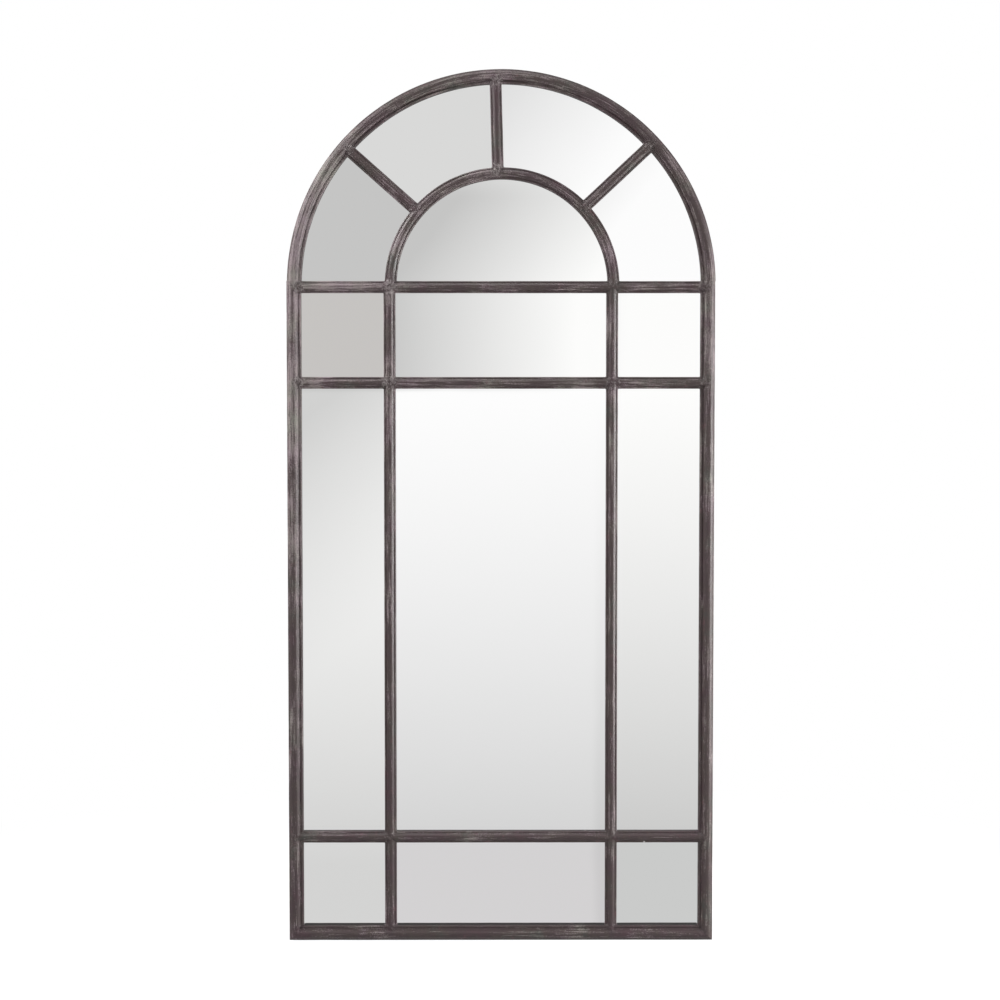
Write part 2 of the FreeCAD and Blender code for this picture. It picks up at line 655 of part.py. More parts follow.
def repeated_nodes():
    """The nodes that hold several separate solids of one kind."""
    strap_seat = STRAP_Y + 2 * STRAP_SHEET
    strap_places = strap_screw_places(-1) + strap_screw_places(1)
    return {
        "mounting_tape": mounting_tape(),
        "board_clips": [clip(*station) for station in edge_stations()],
        "clip_screws": screws(clip_screw_places(), REAR_Y + CLIP_THICKNESS, SCREW_LENGTH),
        "hanging_bar_screws": screws(bar_screw_places(), REAR_Y + HANGING_BAR_THICKNESS, SCREW_LENGTH),
        "strap_screws": screws(strap_places, strap_seat, strap_seat - BOARD_REAR_Y),
        "wall_pads": [wall_pad(x, z) for x, z in pad_places()],
    }


def main():
    os.makedirs(PARTS, exist_ok=True)
    single = frame_nodes() | panes() | backing_nodes()
    nodes = {name: one_solid(shape, name) for name, shape in single.items()}
    for name, shapes in repeated_nodes().items():
        nodes[name] = Part.makeCompound([one_solid(shape, name) for shape in shapes])
    for name, shape in nodes.items():
        shape.exportStep(os.path.join(PARTS, f"{name}.step"))
        print(name, len(shape.Solids), round(shape.Volume / 1000, 2), "cm3", shape.isValid())


main()
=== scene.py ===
"""Looks of the arched window mirror: the painted lattice, the silvered panes and the fixings behind."""

import math

import bpy
from mathutils import Matrix, Vector, noise


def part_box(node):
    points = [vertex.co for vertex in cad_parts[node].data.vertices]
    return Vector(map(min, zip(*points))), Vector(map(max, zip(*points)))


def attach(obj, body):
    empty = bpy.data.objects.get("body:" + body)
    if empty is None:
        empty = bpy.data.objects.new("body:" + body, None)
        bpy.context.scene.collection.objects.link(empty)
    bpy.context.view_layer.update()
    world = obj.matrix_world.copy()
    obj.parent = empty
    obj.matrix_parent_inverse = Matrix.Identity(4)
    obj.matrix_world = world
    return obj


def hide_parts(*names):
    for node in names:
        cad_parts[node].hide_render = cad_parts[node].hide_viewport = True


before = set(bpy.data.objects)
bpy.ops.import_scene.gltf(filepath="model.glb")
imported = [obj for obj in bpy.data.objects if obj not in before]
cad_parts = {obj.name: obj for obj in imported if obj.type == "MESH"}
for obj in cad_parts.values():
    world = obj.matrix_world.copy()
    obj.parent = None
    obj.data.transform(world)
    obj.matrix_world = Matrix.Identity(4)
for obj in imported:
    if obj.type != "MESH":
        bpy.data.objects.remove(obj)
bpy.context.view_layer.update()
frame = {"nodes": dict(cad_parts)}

MM = 0.001
MATH, RANGE, MIX = "ShaderNodeMath", "ShaderNodeMapRange", "ShaderNodeMix"
NOISE, RAMP = "ShaderNodeTexNoise", "ShaderNodeValToRGB"
SMOOTH = "SMOOTHSTEP"

# ---------------------------------------------------------------- sizes, from the solids
HALF_WIDTH = -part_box("left_jamb")[0].x
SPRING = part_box("left_jamb")[1].z
REAR_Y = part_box("left_jamb")[1].y
GLASS_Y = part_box("pane_tall_centre")[0].y
MULLION = (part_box("right_mullion")[0].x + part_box("right_mullion")[1].x) / 2
RAILS = {
    row: (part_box(f"{row}_rail_centre")[0].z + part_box(f"{row}_rail_centre")[1].z) / 2
    for row in ("spring", "upper", "base")
}
SPOKES = {"right": 43.0, "top": 91.5, "left": 138.5}  # degrees from +X

OUTER_FACE = 27 * MM
BAR_FACE = 22 * MM
ARCH_STEP = 0.8 * MM  # the arch sits this much to the right of the jambs at the butt joint
INNER_ARCH_STEP = 2.2 * MM  # and the inner arch this much to the right of the mullions
BUTT_HEIGHT = SPRING + 8 * MM  # the jambs are butted to the arch at the top edge of the spring rail
RING_PITCH = 5 * MM  # length of the faces along a moulding


# ---------------------------------------------------------------- small helpers
def linear(code):
    """A hex sRGB colour as the linear RGBA that the shaders take."""
    channels = [int(code[i : i + 2], 16) / 255 for i in (1, 3, 5)]
    return [c / 12.92 if c <= 0.04045 else ((c + 0.055) / 1.055) ** 2.4 for c in channels] + [1.0]


def feed(tree, item, sockets):
    """Gives each socket its value, or links it to an output. A node stands for its own first output."""
    for key, value in sockets.items():
        if isinstance(value, bpy.types.Node):
            value = value.outputs[0]
        if isinstance(value, bpy.types.NodeSocket):
            tree.links.new(value, item.inputs[key])
        else:
            item.inputs[key].default_value = value


def add(tree, kind, sockets=(), stops=(), **settings):
    """Adds a node with its settings, its links and its colour stops, as (place, hex colour or grey)."""
    item = tree.nodes.new(kind)
    for name, value in settings.items():
        setattr(item, name, value)
    if stops:
        elements = item.color_ramp.elements
        while len(elements) < len(stops):
            elements.new(0.5)
        for element, (place, tone) in zip(elements, stops):
            element.position = place
            element.color = linear(tone) if isinstance(tone, str) else (tone, tone, tone, 1)
    feed(tree, item, dict(sockets))
    return item


def new_material(name):
    """A material with its node tree, its shader and the output of the piece's own coordinates."""
    material = bpy.data.materials.new(name)
    material.use_nodes = True
    tree = material.node_tree
    place = add(tree, "ShaderNodeTexCoord").outputs["Object"]
    return material, tree, tree.nodes["Principled BSDF"], place


def deselect_all():
    if bpy.context.object and bpy.context.object.mode != "OBJECT":
        bpy.ops.object.mode_set(mode="OBJECT")
    bpy.ops.object.select_all(action="DESELECT")


def only(piece):
    """Makes piece the one selected, active object."""
    deselect_all()
    piece.select_set(True)
    bpy.context.view_layer.objects.active = piece


def edit_all(piece):
    """Starts editing the piece with all of it selected."""
    only(piece)
    bpy.ops.object.mode_set(mode="EDIT")
    bpy.ops.mesh.select_all(action="SELECT")


def modify(piece, kind, **settings):
    """Adds a modifier with its settings and applies it."""
    only(piece)
    bpy.ops.object.modifier_add(type=kind)
    modifier = piece.modifiers[-1]
    for name, value in settings.items():
        setattr(modifier, name, value)
    bpy.ops.object.modifier_apply(modifier=modifier.name)


def coat_with(piece, material):
    piece.data.materials.clear()
    piece.data.materials.append(material)


def finish_piece(piece, name, body, nodes, material):
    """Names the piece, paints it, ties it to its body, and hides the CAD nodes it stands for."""
    piece.name = name
    piece.data.name = name
    coat_with(piece, material)
    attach(piece, body)
    if nodes:
        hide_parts(*nodes)
    return piece


# ---------------------------------------------------------------- the camera and the room
def build_camera():
    data = bpy.data.cameras.new("camera")
    camera = bpy.data.objects.new("camera", data)
    bpy.context.scene.collection.objects.link(camera)
    data.lens = 78.87
    data.sensor_width = 36
    camera.location = (-0.016, -4.110, 1.047)
    camera.rotation_euler = (math.radians(87.03), 0, math.radians(-0.2))
    bpy.context.scene.camera = camera


def area_light(name, place, aim, size, power, tint="#ffffff"):
    data = bpy.data.lights.new(name, "AREA")
    data.shape = "DISK"
    data.size = size
    data.energy = power
    data.color = linear(tint)[:3]
    light = bpy.data.objects.new(name, data)
    light.location = place
    light.rotation_euler = (Vector(aim) - Vector(place)).to_track_quat("-Z", "Y").to_euler()
    bpy.context.scene.collection.objects.link(light)


def build_lights():
    area_light("right_softbox", (2.3, -0.40, 0.88), (0.1, 0, 0.85), 0.8, 47)
    area_light("left_high_softbox", (-2.2, -0.45, 2.5), (-0.3, 0, 1.3), 0.8, 51)
    area_light("left_softbox", (-2.4, -2.8, 1.9), (-0.1, 0, 1.1), 1.4, 14)
    area_light("top_softbox", (-0.3, -0.60, 3.6), (0, 0, 1.2), 1.2, 20)
    area_light("low_right_fill", (1.30, -0.18, 0.36), (0.4, 0, 0.04), 0.35, 5)


def build_world():
    """White to the camera, soft grey to matt surfaces, and to glass and metal a studio room.

    The room is what the panes mirror: a grey screen at the upper left that gives way to bright white on the
    right, and a white sweep of floor that darkens towards the mirror's foot.
    """
    world = bpy.data.worlds.new("studio")
    bpy.context.scene.world = world
    world.use_nodes = True
    tree = world.node_tree
    tree.nodes.clear()
    heading = add(tree, "ShaderNodeSeparateXYZ", {0: add(tree, "ShaderNodeTexCoord").outputs["Generated"]})
    forwards = add(tree, MATH, {0: heading.outputs[1], 1: -1.0}, operation="MULTIPLY")
    forwards = add(tree, MATH, {0: forwards, 1: 0.05}, operation="MAXIMUM")
    side = add(tree, MATH, {0: heading.outputs[0], 1: forwards}, operation="DIVIDE")
    side = add(tree, MATH, {0: side, 1: 0.006}, operation="ADD")
    rise = add(tree, MATH, {0: heading.outputs[2], 1: forwards}, operation="DIVIDE")

    # above the horizon: the grey screen on the left, brighter with height, and white on the right
    screen = add(tree, RANGE, {0: rise, 1: 0.084, 2: 0.100, 3: 0.563, 4: 0.700}, interpolation_type=SMOOTH)
    lean = add(tree, MATH, {0: rise, 1: 0.04}, operation="SUBTRACT")
    lean = add(tree, MATH, {0: lean, 1: 0.0}, operation="MAXIMUM")
    across = add(tree, MATH, {0: lean, 1: -0.8, 2: side}, operation="MULTIPLY_ADD")
    white_share = add(tree, RANGE, {0: across, 1: -0.045, 2: 0.045, 3: 0.0, 4: 1.0})
    upper = add(tree, RANGE, {0: white_share, 1: 0.0, 2: 1.0, 3: screen, 4: 0.985})

    # below it: the white sweep, which falls off downwards
    down = add(tree, RANGE, {0: rise, 1: 0.0, 2: -0.21, 3: 0.0, 4: 1.0})
    fall = add(tree, MATH, {0: down, 1: 1.25}, operation="POWER")
    lower = add(tree, MATH, {0: fall, 1: -0.34, 2: 0.995}, operation="MULTIPLY_ADD")
    right = add(tree, RANGE, {0: side, 1: 0.051, 2: 0.056, 3: 0.0, 4: -0.09}, interpolation_type=SMOOTH)
    right = add(tree, MATH, {0: right, 1: down, 2: 1.0}, operation="MULTIPLY_ADD")
    lower = add(tree, MATH, {0: lower, 1: right}, operation="MULTIPLY")
    left = add(tree, RANGE, {0: side, 1: -0.0435, 2: -0.0395, 3: 1.0, 4: 0.0}, interpolation_type=SMOOTH)
    slant = add(tree, MATH, {0: side, 1: -0.8, 2: rise}, operation="MULTIPLY_ADD")
    shade = add(tree, RANGE, {0: slant, 1: 0.0485, 2: -0.0715, 3: 1.0, 4: 0.0})
    shade = add(tree, MATH, {0: shade, 1: 1.3}, operation="POWER")
    shade = add(tree, MATH, {0: shade, 1: 0.35}, operation="MULTIPLY")
    left = add(tree, MATH, {0: left, 1: shade}, operation="MULTIPLY")
    left = add(tree, MATH, {0: 1.0, 1: left}, operation="SUBTRACT")
    lower = add(tree, MATH, {0: lower, 1: left}, operation="MULTIPLY")

    horizon = add(tree, RANGE, {0: rise, 1: -0.0035, 2: 0.0005, 3: 0.0, 4: 1.0}, interpolation_type=SMOOTH)
    room = add(tree, RANGE, {0: horizon, 1: 0.0, 2: 1.0, 3: lower, 4: upper})

    path = add(tree, "ShaderNodeLightPath").outputs
    mirrored = add(
        tree, MATH, {0: path["Is Glossy Ray"], 1: path["Is Transmission Ray"]}, operation="MAXIMUM"
    )
    # matt surfaces see a dim room in front of the mirror and the white set beside and behind it
    wrap = add(
        tree, RANGE, {0: heading.outputs[1], 1: -0.65, 2: 0.15, 3: 0.22, 4: 1.0}, interpolation_type=SMOOTH
    )
    ceiling = add(
        tree, RANGE, {0: heading.outputs[2], 1: 0.15, 2: 0.9, 3: 1.0, 4: 0.4}, interpolation_type=SMOOTH
    )
    wrap = add(tree, MATH, {0: wrap, 1: ceiling}, operation="MULTIPLY")
    soft = add(tree, "ShaderNodeBackground", {0: linear("#fbfafa"), 1: wrap})
    room = add(tree, "ShaderNodeBackground", {0: room, 1: 1.0})
    white = add(tree, "ShaderNodeBackground", {0: (1, 1, 1, 1), 1: 1.0})
    shown = add(tree, "ShaderNodeMixShader", {0: mirrored, 1: soft, 2: room})
    shown = add(tree, "ShaderNodeMixShader", {0: path["Is Camera Ray"], 1: shown, 2: white})
    add(tree, "ShaderNodeOutputWorld", {0: shown})


def build_floor():
    """A pale studio floor. It turns to the white of the background away from the mirror."""
    deselect_all()
    bpy.ops.mesh.primitive_circle_add(vertices=64, radius=14, fill_type="NGON", location=(0, 0, 0))
    floor = bpy.context.object
    floor.name = "floor"
    material, tree = new_material("white_studio_floor")[:2]
    tree.nodes.clear()
    place = add(tree, "ShaderNodeTexCoord").outputs["Object"]
    reach = add(tree, "ShaderNodeVectorMath", {0: place}, operation="LENGTH").outputs["Value"]
    faded = add(tree, RANGE, {0: reach, 1: 0.55, 2: 1.6, 3: 0.0, 4: 1.0}, interpolation_type=SMOOTH)
    lit = add(tree, "ShaderNodeBsdfDiffuse", {0: (0.34, 0.34, 0.34, 1)})
    glow = add(tree, "ShaderNodeEmission", {0: (1, 1, 1, 1), 1: 0.80})
    near = add(tree, "ShaderNodeAddShader", {0: lit, 1: glow})
    white = add(tree, "ShaderNodeEmission", {0: (1, 1, 1, 1), 1: 1.0})
    shown = add(tree, "ShaderNodeMixShader", {0: faded, 1: near, 2: white})
    pale = add(tree, "ShaderNodeBsdfDiffuse", {0: (0.8, 0.8, 0.8, 1)})
    clear = add(tree, "ShaderNodeBsdfTransparent")
    path = add(tree, "ShaderNodeLightPath").outputs
    mirrored = add(
        tree, MATH, {0: path["Is Glossy Ray"], 1: path["Is Transmission Ray"]}, operation="MAXIMUM"
    )
    other = add(tree, "ShaderNodeMixShader", {0: mirrored, 1: pale, 2: clear})
    shown = add(tree, "ShaderNodeMixShader", {0: path["Is Camera Ray"], 1: other, 2: shown})
    add(tree, "ShaderNodeOutputMaterial", {0: shown})
    floor.data.materials.append(material)


# ---------------------------------------------------------------- materials
def painted_steel(name, stippled=False):
    """Rolled steel under dark brown brushed-on paint, dry-brushed with lilac grey along each moulding.

    The eye sees fine streaks that follow the member, more grey towards the upper left and less lower down,
    painted shade as dark lines in the grooves and along the glass, dull red and green patches, and a few
    white chips. The filler over the welds is dabbed, not brushed, and takes more of the grey.
    """
    material, tree, paint, place = new_material(name)
    grain = add(tree, "ShaderNodeAttribute", attribute_name="grain").outputs["Vector"]
    # dabs of a dry brush's tip, 2 mm across
    dabs = add(tree, NOISE, {0: place, "Scale": 480, "Detail": 4, "Roughness": 0.72})
    if stippled:
        # lumps of filler, 6 mm across
        broad = add(tree, NOISE, {0: place, "Scale": 170, "Detail": 3, "Roughness": 0.6})
        fine = dabs
    else:
        # streaks 1.3 mm wide and 33 mm long, and broader ones of 3.5 by 100 mm that show from afar
        along = add(tree, "ShaderNodeMapping", {0: grain, 3: (1, 0.04, 1)})
        fine = add(tree, NOISE, {0: along, "Scale": 760, "Detail": 4, "Roughness": 0.65})
        along = add(tree, "ShaderNodeMapping", {0: grain, 3: (1, 0.035, 1)})
        broad = add(tree, NOISE, {0: along, "Scale": 290, "Detail": 3, "Roughness": 0.6})
    # patches 90 mm across where more or less was wiped off, and of 50 mm where the paint's hue drifts
    patch = add(tree, NOISE, {0: place, "Scale": 11, "Detail": 4, "Roughness": 0.65})
    hue = add(tree, NOISE, {0: place, "Scale": 21, "Detail": 4, "Roughness": 0.65})

    browns = [(0.32, "#443035"), (0.45, "#3f3133"), (0.58, "#413533"), (0.70, "#3c3936")]
    coat = add(tree, RAMP, {0: hue}, stops=browns)
    # the grey takes more where the patches are high, more towards the upper left, and less lower down
    spot = add(tree, "ShaderNodeSeparateXYZ", {0: place}).outputs
    leftness = add(tree, RANGE, {0: spot[0], 1: 0.4, 2: -0.4, 3: 0.0, 4: 1.0})
    leftness = add(tree, MATH, {0: leftness, 1: 1.5 if stippled else 5.0}, operation="POWER")
    height = add(tree, RANGE, {0: spot[2], 1: 0.4, 2: 1.2, 3: 0.035, 4: 0.105})
    least = -0.09 if stippled else -0.045
    fade = add(tree, RANGE, {0: spot[2], 1: 0.55, 2: 1.05, 3: least, 4: 0.0})
    worn = add(tree, MATH, {0: leftness, 1: height, 2: fade}, operation="MULTIPLY_ADD")
    worn = add(tree, MATH, {0: patch, 1: 0.42, 2: worn}, operation="MULTIPLY_ADD")
    worn = add(tree, MATH, {0: broad, 1: 0.50, 2: worn}, operation="MULTIPLY_ADD")
    worn = add(tree, MATH, {0: fine, 1: 0.40, 2: worn}, operation="MULTIPLY_ADD")
    worn = add(tree, MATH, {0: dabs, 1: 0.45, 2: worn}, operation="MULTIPLY_ADD")
    start = 0.905 if stippled else 0.885  # how high the noises add up before the grey takes
    strokes = add(
        tree, RANGE, {0: worn, 1: start, 2: start + 0.15, 3: 0.0, 4: 1.0}, interpolation_type=SMOOTH
    )
    greys = [(0.3, "#93848a"), (0.48, "#8e8182"), (0.72, "#86847b")]
    if stippled:
        greys = [(0.3, "#8f8486"), (0.75, "#857f7b")]
    grey = add(tree, RAMP, {0: hue}, stops=greys)
    colour = add(tree, MIX, {0: strokes, 6: coat, 7: grey}, data_type="RGBA").outputs[2]

    # dull red primer shows in spots up to 16 mm across
    primer = add(tree, NOISE, {0: place, "Scale": 62, "Detail": 5, "Roughness": 0.7})
    primer = add(tree, RAMP, {0: primer}, stops=[(0.60, 0.0), (0.70, 0.55)])
    colour = add(tree, MIX, {0: primer, 6: colour, 7: linear("#66464b")}, data_type="RGBA").outputs[2]

    if not stippled:
        # painted shade: dark lines where the bead meets its shoulders and where the moulding meets the
        # glass, with a duller sheen there
        unshaded = add(tree, "ShaderNodeAttribute", attribute_name="unshaded").outputs["Fac"]
        darker = {0: 1.0, 6: colour, 7: unshaded}
        colour = add(tree, MIX, darker, data_type="RGBA", blend_type="MULTIPLY").outputs[2]
        sheen = add(tree, RANGE, {0: unshaded, 1: 0.2, 2: 0.8, 3: 0.06, 4: 0.5})
        feed(tree, paint, {"Specular IOR Level": sheen})
    # a few chips 3 mm across, some 40 mm apart and only where the sparse noise is high
    chips = add(tree, "ShaderNodeTexVoronoi", {0: place, "Scale": 26, "Randomness": 1.0}).outputs["Distance"]
    chips = add(tree, RAMP, {0: chips}, stops=[(0.0, 1.0), (0.030, 1.0), (0.040, 0.0)])
    sparse = add(tree, NOISE, {0: place, "Scale": 40, "Detail": 1})
    sparse = add(tree, RAMP, {0: sparse}, stops=[(0.60, 0.0), (0.62, 1.0)])
    chips = add(tree, MATH, {0: chips, 1: sparse}, operation="MULTIPLY")
    colour = add(tree, MIX, {0: chips, 6: colour, 7: linear("#e6e1dc")}, data_type="RGBA").outputs[2]

    rough = add(tree, RANGE, {0: strokes, 1: 0.0, 2: 1.0, 3: 0.46, 4: 0.66})
    relief = add(tree, MATH, {0: broad, 1: 0.6, 2: fine}, operation="MULTIPLY_ADD")
    relief = add(tree, MATH, {0: dabs, 1: 0.5, 2: relief}, operation="MULTIPLY_ADD")
    depth = 0.9 * MM if stippled else 0.55 * MM
    bump = add(tree, "ShaderNodeBump", {"Height": relief, "Strength": 0.75, "Distance": depth})
    feed(tree, paint, {"Base Color": colour, "Roughness": rough, "Normal": bump})
    return material


def silvered_glass(name, tint, tilt):
    """Float glass silvered behind: a spotless mirror. tilt is how far the pane leans on its tape."""
    material, tree, glass, place = new_material(name)
    # float glass wavers by a few hundredths of a millimetre over 140 mm
    wave = add(tree, NOISE, {0: place, "Scale": 7, "Detail": 1, "Roughness": 0.4})
    bump = add(tree, "ShaderNodeBump", {"Height": wave, "Strength": 0.5, "Distance": 0.12 * MM})
    lean = add(tree, "ShaderNodeVectorMath", {0: bump, 1: (tilt[0], 0, tilt[1])}, operation="ADD")
    lean = add(tree, "ShaderNodeVectorMath", {0: lean}, operation="NORMALIZE")
    feed(tree, glass, {"Base Color": linear(tint), "Metallic": 1.0, "Roughness": 0.015, "Normal": lean})
    return material


# tint, then sideways and upwards lean, for each pane
PANE_LOOKS = {
    "pane_arch_centre": ("#fefefd", (0.0, 0.0)),
    "pane_fan_left_low": ("#fefefd", (0.0, -0.008)),
    "pane_fan_left_high": ("#fefefd", (0.0, 0.010)),
    "pane_fan_right_high": ("#fefefe", (0.0175, 0.0)),
    "pane_fan_right_low": ("#fefefe", (0.004, 0.0)),
    "pane_upper_left": ("#fffcf9", (0.0, 0.0)),
    "pane_upper_centre": ("#fefefd", (0.0, 0.0)),
    "pane_upper_right": ("#fefefd", (-0.011, 0.0)),
    "pane_tall_left": ("#fefefd", (0.0, 0.0)),
    "pane_tall_centre": ("#fefefe", (0.0, 0.0)),
    "pane_tall_right": ("#fefefd", (0.0, 0.0)),
    "pane_base_left": ("#fffffe", (0.0, 0.005)),
    "pane_base_centre": ("#fffdfe", (0.0, 0.0)),
    "pane_base_right": ("#fefffe", (0.0, 0.0)),
}


def hardboard():
    """Pressed brown fibreboard: matted fibres in a slightly waxy face, with bark specks and pale bundles."""
    material, tree, board, place = new_material("brown_hardboard")
    # curled fibres 3 mm long, finer ones in them, and slow clouds of 140 mm
    fibre = add(tree, NOISE, {0: place, "Scale": 330, "Detail": 6, "Roughness": 0.75, "Distortion": 1.5})
    cloud = add(tree, NOISE, {0: place, "Scale": 7, "Detail": 4})
    mixed = add(tree, MATH, {0: cloud, 1: 0.18, 2: fibre}, operation="MULTIPLY_ADD")
    colour = add(tree, RAMP, {0: mixed}, stops=[(0.40, "#4b3220"), (0.58, "#705036"), (0.80, "#94714e")])
    # bark specks of 2 to 7 mm, and bundles 6 mm wide that are three times as long
    bark = add(tree, NOISE, {0: place, "Scale": 150, "Detail": 3, "Roughness": 0.6})
    bark = add(tree, RAMP, {0: bark}, stops=[(0.655, 0.0), (0.70, 0.75)])
    colour = add(tree, MIX, {0: bark, 6: colour, 7: linear("#37241a")}, data_type="RGBA").outputs[2]
    bundle = add(tree, "ShaderNodeMapping", {0: place, 1: (0.3, 0, 0.2), 2: (0, 0.5, 0), 3: (1, 1, 0.3)})
    bundle = add(tree, NOISE, {0: bundle, "Scale": 170, "Detail": 2, "Distortion": 0.6})
    bundle = add(tree, RAMP, {0: bundle}, stops=[(0.66, 0.0), (0.72, 0.6)])
    colour = add(tree, MIX, {0: bundle, 6: colour, 7: linear("#a58562")}, data_type="RGBA").outputs[2]
    bump = add(tree, "ShaderNodeBump", {"Height": fibre, "Strength": 0.3, "Distance": 0.12 * MM})
    feed(tree, board, {"Base Color": colour, "Roughness": 0.55, "Normal": bump})
    return material


def plated_steel(name, light, dark, roughness, scale):
    """Pressed steel with a thin bright plate: a metal sheen clouded by tiny crystals and handling marks."""
    material, tree, metal, place = new_material(name)
    spangle = add(tree, NOISE, {0: place, "Scale": scale, "Detail": 5, "Roughness": 0.65})
    tone = add(tree, RAMP, {0: spangle}, stops=[(0.35, dark), (0.65, light)])
    rough = add(tree, RANGE, {0: spangle, 1: 0.3, 2: 0.7, 3: roughness + 0.08, 4: roughness - 0.05})
    bump = add(tree, "ShaderNodeBump", {"Height": spangle, "Strength": 0.15, "Distance": 0.05 * MM})
    feed(tree, metal, {"Base Color": tone, "Metallic": 1.0, "Roughness": rough, "Normal": bump})
    return material


def black_lacquer():
    """Black lacquer over rolled flat bar: a low sheen with the mill's faint ripple under it."""
    material, tree, bar, place = new_material("black_lacquered_steel")
    rolled = add(tree, "ShaderNodeMapping", {0: place, 3: (0.08, 1, 1)})
    mill = add(tree, NOISE, {0: rolled, "Scale": 320, "Detail": 4})
    tone = add(tree, RAMP, {0: mill}, stops=[(0.35, "#232222"), (0.7, "#343232")])
    rough = add(tree, RANGE, {0: mill, 1: 0.3, 2: 0.7, 3: 0.36, 4: 0.5})
    bump = add(tree, "ShaderNodeBump", {"Height": mill, "Strength": 0.2, "Distance": 0.08 * MM})
    feed(tree, bar, {"Base Color": tone, "Roughness": rough, "Normal": bump})
    return material


def soft_material(name, light, dark, roughness, scale):
    """Closed-cell foam or moulded rubber: matt, with a fine skin of pits."""
    material, tree, soft, place = new_material(name)
    pits = add(tree, NOISE, {0: place, "Scale": scale, "Detail": 4, "Roughness": 0.7})
    tone = add(tree, RAMP, {0: pits}, stops=[(0.35, dark), (0.65, light)])
    bump = add(tree, "ShaderNodeBump", {"Height": pits, "Strength": 0.3, "Distance": 0.1 * MM})
    feed(tree, soft, {"Base Color": tone, "Roughness": roughness, "Normal": bump})
    return material


# ---------------------------------------------------------------- mouldings
def crown_points(middle, width, flat, top, foot):
    """Points of the bead as (u, v): up a sloped side, over a barely crowned top and down the other side."""
    edge, run, rise = width / 2, (width - flat) / 2, top - foot
    near = [(edge, foot), (edge - 0.12 * run, foot + 0.20 * rise), (edge - 0.45 * run, foot + 0.56 * rise)]
    near += [(edge - 0.76 * run, foot + 0.85 * rise), (edge - 0.90 * run, foot + 0.94 * rise)]
    near += [(edge - 1.06 * run, top - 0.03), (flat / 5, top + 0.12)]
    far = [(-u, v) for u, v in reversed(near)]
    return [(middle + u, v) for u, v in near + [(0, top + 0.15)] + far]


def eased(corner, before, after, radius, steps=3):
    """A small round on a square corner, from the side of before to the side of after."""
    into = (Vector(before) - Vector(corner)).normalized() * radius
    out = (Vector(after) - Vector(corner)).normalized() * radius
    centre = Vector(corner) + into + out
    points = []
    for i in range(steps + 1):
        turn = math.pi / 2 * i / steps
        points.append(tuple(centre - out * math.cos(turn) - into * math.sin(turn)))
    return points


def bar_section():
    """Glazing bar as (u, v) in metres, u across and v up from the glass, grooved at the bead's foot."""
    half, top = 11.0, 8.0
    crown = crown_points(0, 14.8, 5.6, 12.35, top - 0.3)
    outline = [(-half, 0), (0, 0), (half, 0), (half, 3.0)]
    outline += eased((half, top), (half, 0), (0, top), 2.5, 5)
    outline += [(8.3, top), (7.9, 7.8)] + crown
    outline += [(-7.9, 7.8), (-8.3, top)]
    outline += eased((-half, top), (0, top), (-half, 0), 2.5, 5) + [(-half, 3.0)]
    return [(u * MM, v * MM) for u, v in outline]


def outer_section(wide=27.0, lip=8.0):
    """Outer moulding as (u, v) in metres, u in from the outer edge, with the rebate that holds the board.

    lip is how far its glass side stands up; the base member's stands nearly as high as its bead.
    """
    top, rear, wall = 8.0, -13.0, 18.5
    crown = crown_points(11.5, 20.0, 7.4, 13.95, top - 0.7)
    outline = eased((0, rear), (0, 0), (wall, rear), 0.6, 2) + [(9, rear)]
    outline += eased((wall, rear), (0, rear), (wall, 0), 0.6, 2)
    outline += [(wall, 0), (wide, 0), (wide, 3.0), (wide, lip - 3.3)]
    outline += eased((wide, lip), (wide, 0), (0, lip), 2.6, 5)
    if lip > top:
        outline += [(25.7, lip), (25.1, lip - 0.6), (24.5, lip - 1.1), (23.7, lip - 1.1), (22.7, lip - 0.6)]
        outline += [(19.3, lip - 0.5)] + crown[3:]
    else:
        outline += [(22.8, top), (22.2, 7.7)] + crown
    outline += eased((0, top - 0.6), (2.0, top - 0.6), (0, 0), 1.4)
    outline += [(0, 3.0), (0, -5.0)]
    return [(u * MM, v * MM) for u, v in outline]


def section_face(section, origin, across):
    """Adds a flat face with the moulding's section, standing at origin with u along across."""
    deselect_all()
    bpy.ops.mesh.primitive_circle_add(vertices=len(section), radius=BAR_FACE / 2, fill_type="NGON")
    piece = bpy.context.object
    for point, (u, v) in zip(piece.data.vertices, section):
        place = Vector(origin) + Vector(across) * u
        point.co = (place.x, GLASS_Y - v, place.z)
    return piece


def face_outwards():
    """Closes seams and points every face outwards; called in edit mode."""
    bpy.ops.mesh.select_all(action="SELECT")
    bpy.ops.mesh.remove_doubles(threshold=1e-6)
    bpy.ops.mesh.normals_make_consistent(inside=False)


def mark_grain(piece, measure, grooves, shade_line, darkest):
    """Stores (across, along, height) in metres at each point for the strokes, and how far its paint is
    darkened as painted shade.

    Shade is painted in the grooves, given as places across the moulding, and on its sides. Up to the height
    above the glass given for each place across, a side is only as light as darkest says.
    """
    strokes, painted_shade = [], []
    for point in piece.data.vertices:
        across, offset, along, height = measure(point.co)
        strokes.extend((across + offset, along, height))
        nearest = min(abs(across - groove) for groove in grooves)
        # painted shade: darker in the grooves beside the bead
        unshaded_share = min(1.0, 0.74 + nearest / (4.0 * MM)) if height > 5 * MM else 1.0
        shade_top = shade_line(across)
        # painted shade: a side is darker up to the given height above the glass
        if height < shade_top:
            unshaded_share = min(unshaded_share, darkest(across) + max(0, height - shade_top + 3.5 * MM) / (4.2 * MM))
        painted_shade.append(unshaded_share)
    piece.data.attributes.new("grain", "FLOAT_VECTOR", "POINT").data.foreach_set("vector", strokes)
    piece.data.attributes.new("unshaded", "FLOAT", "POINT").data.foreach_set("value", painted_shade)


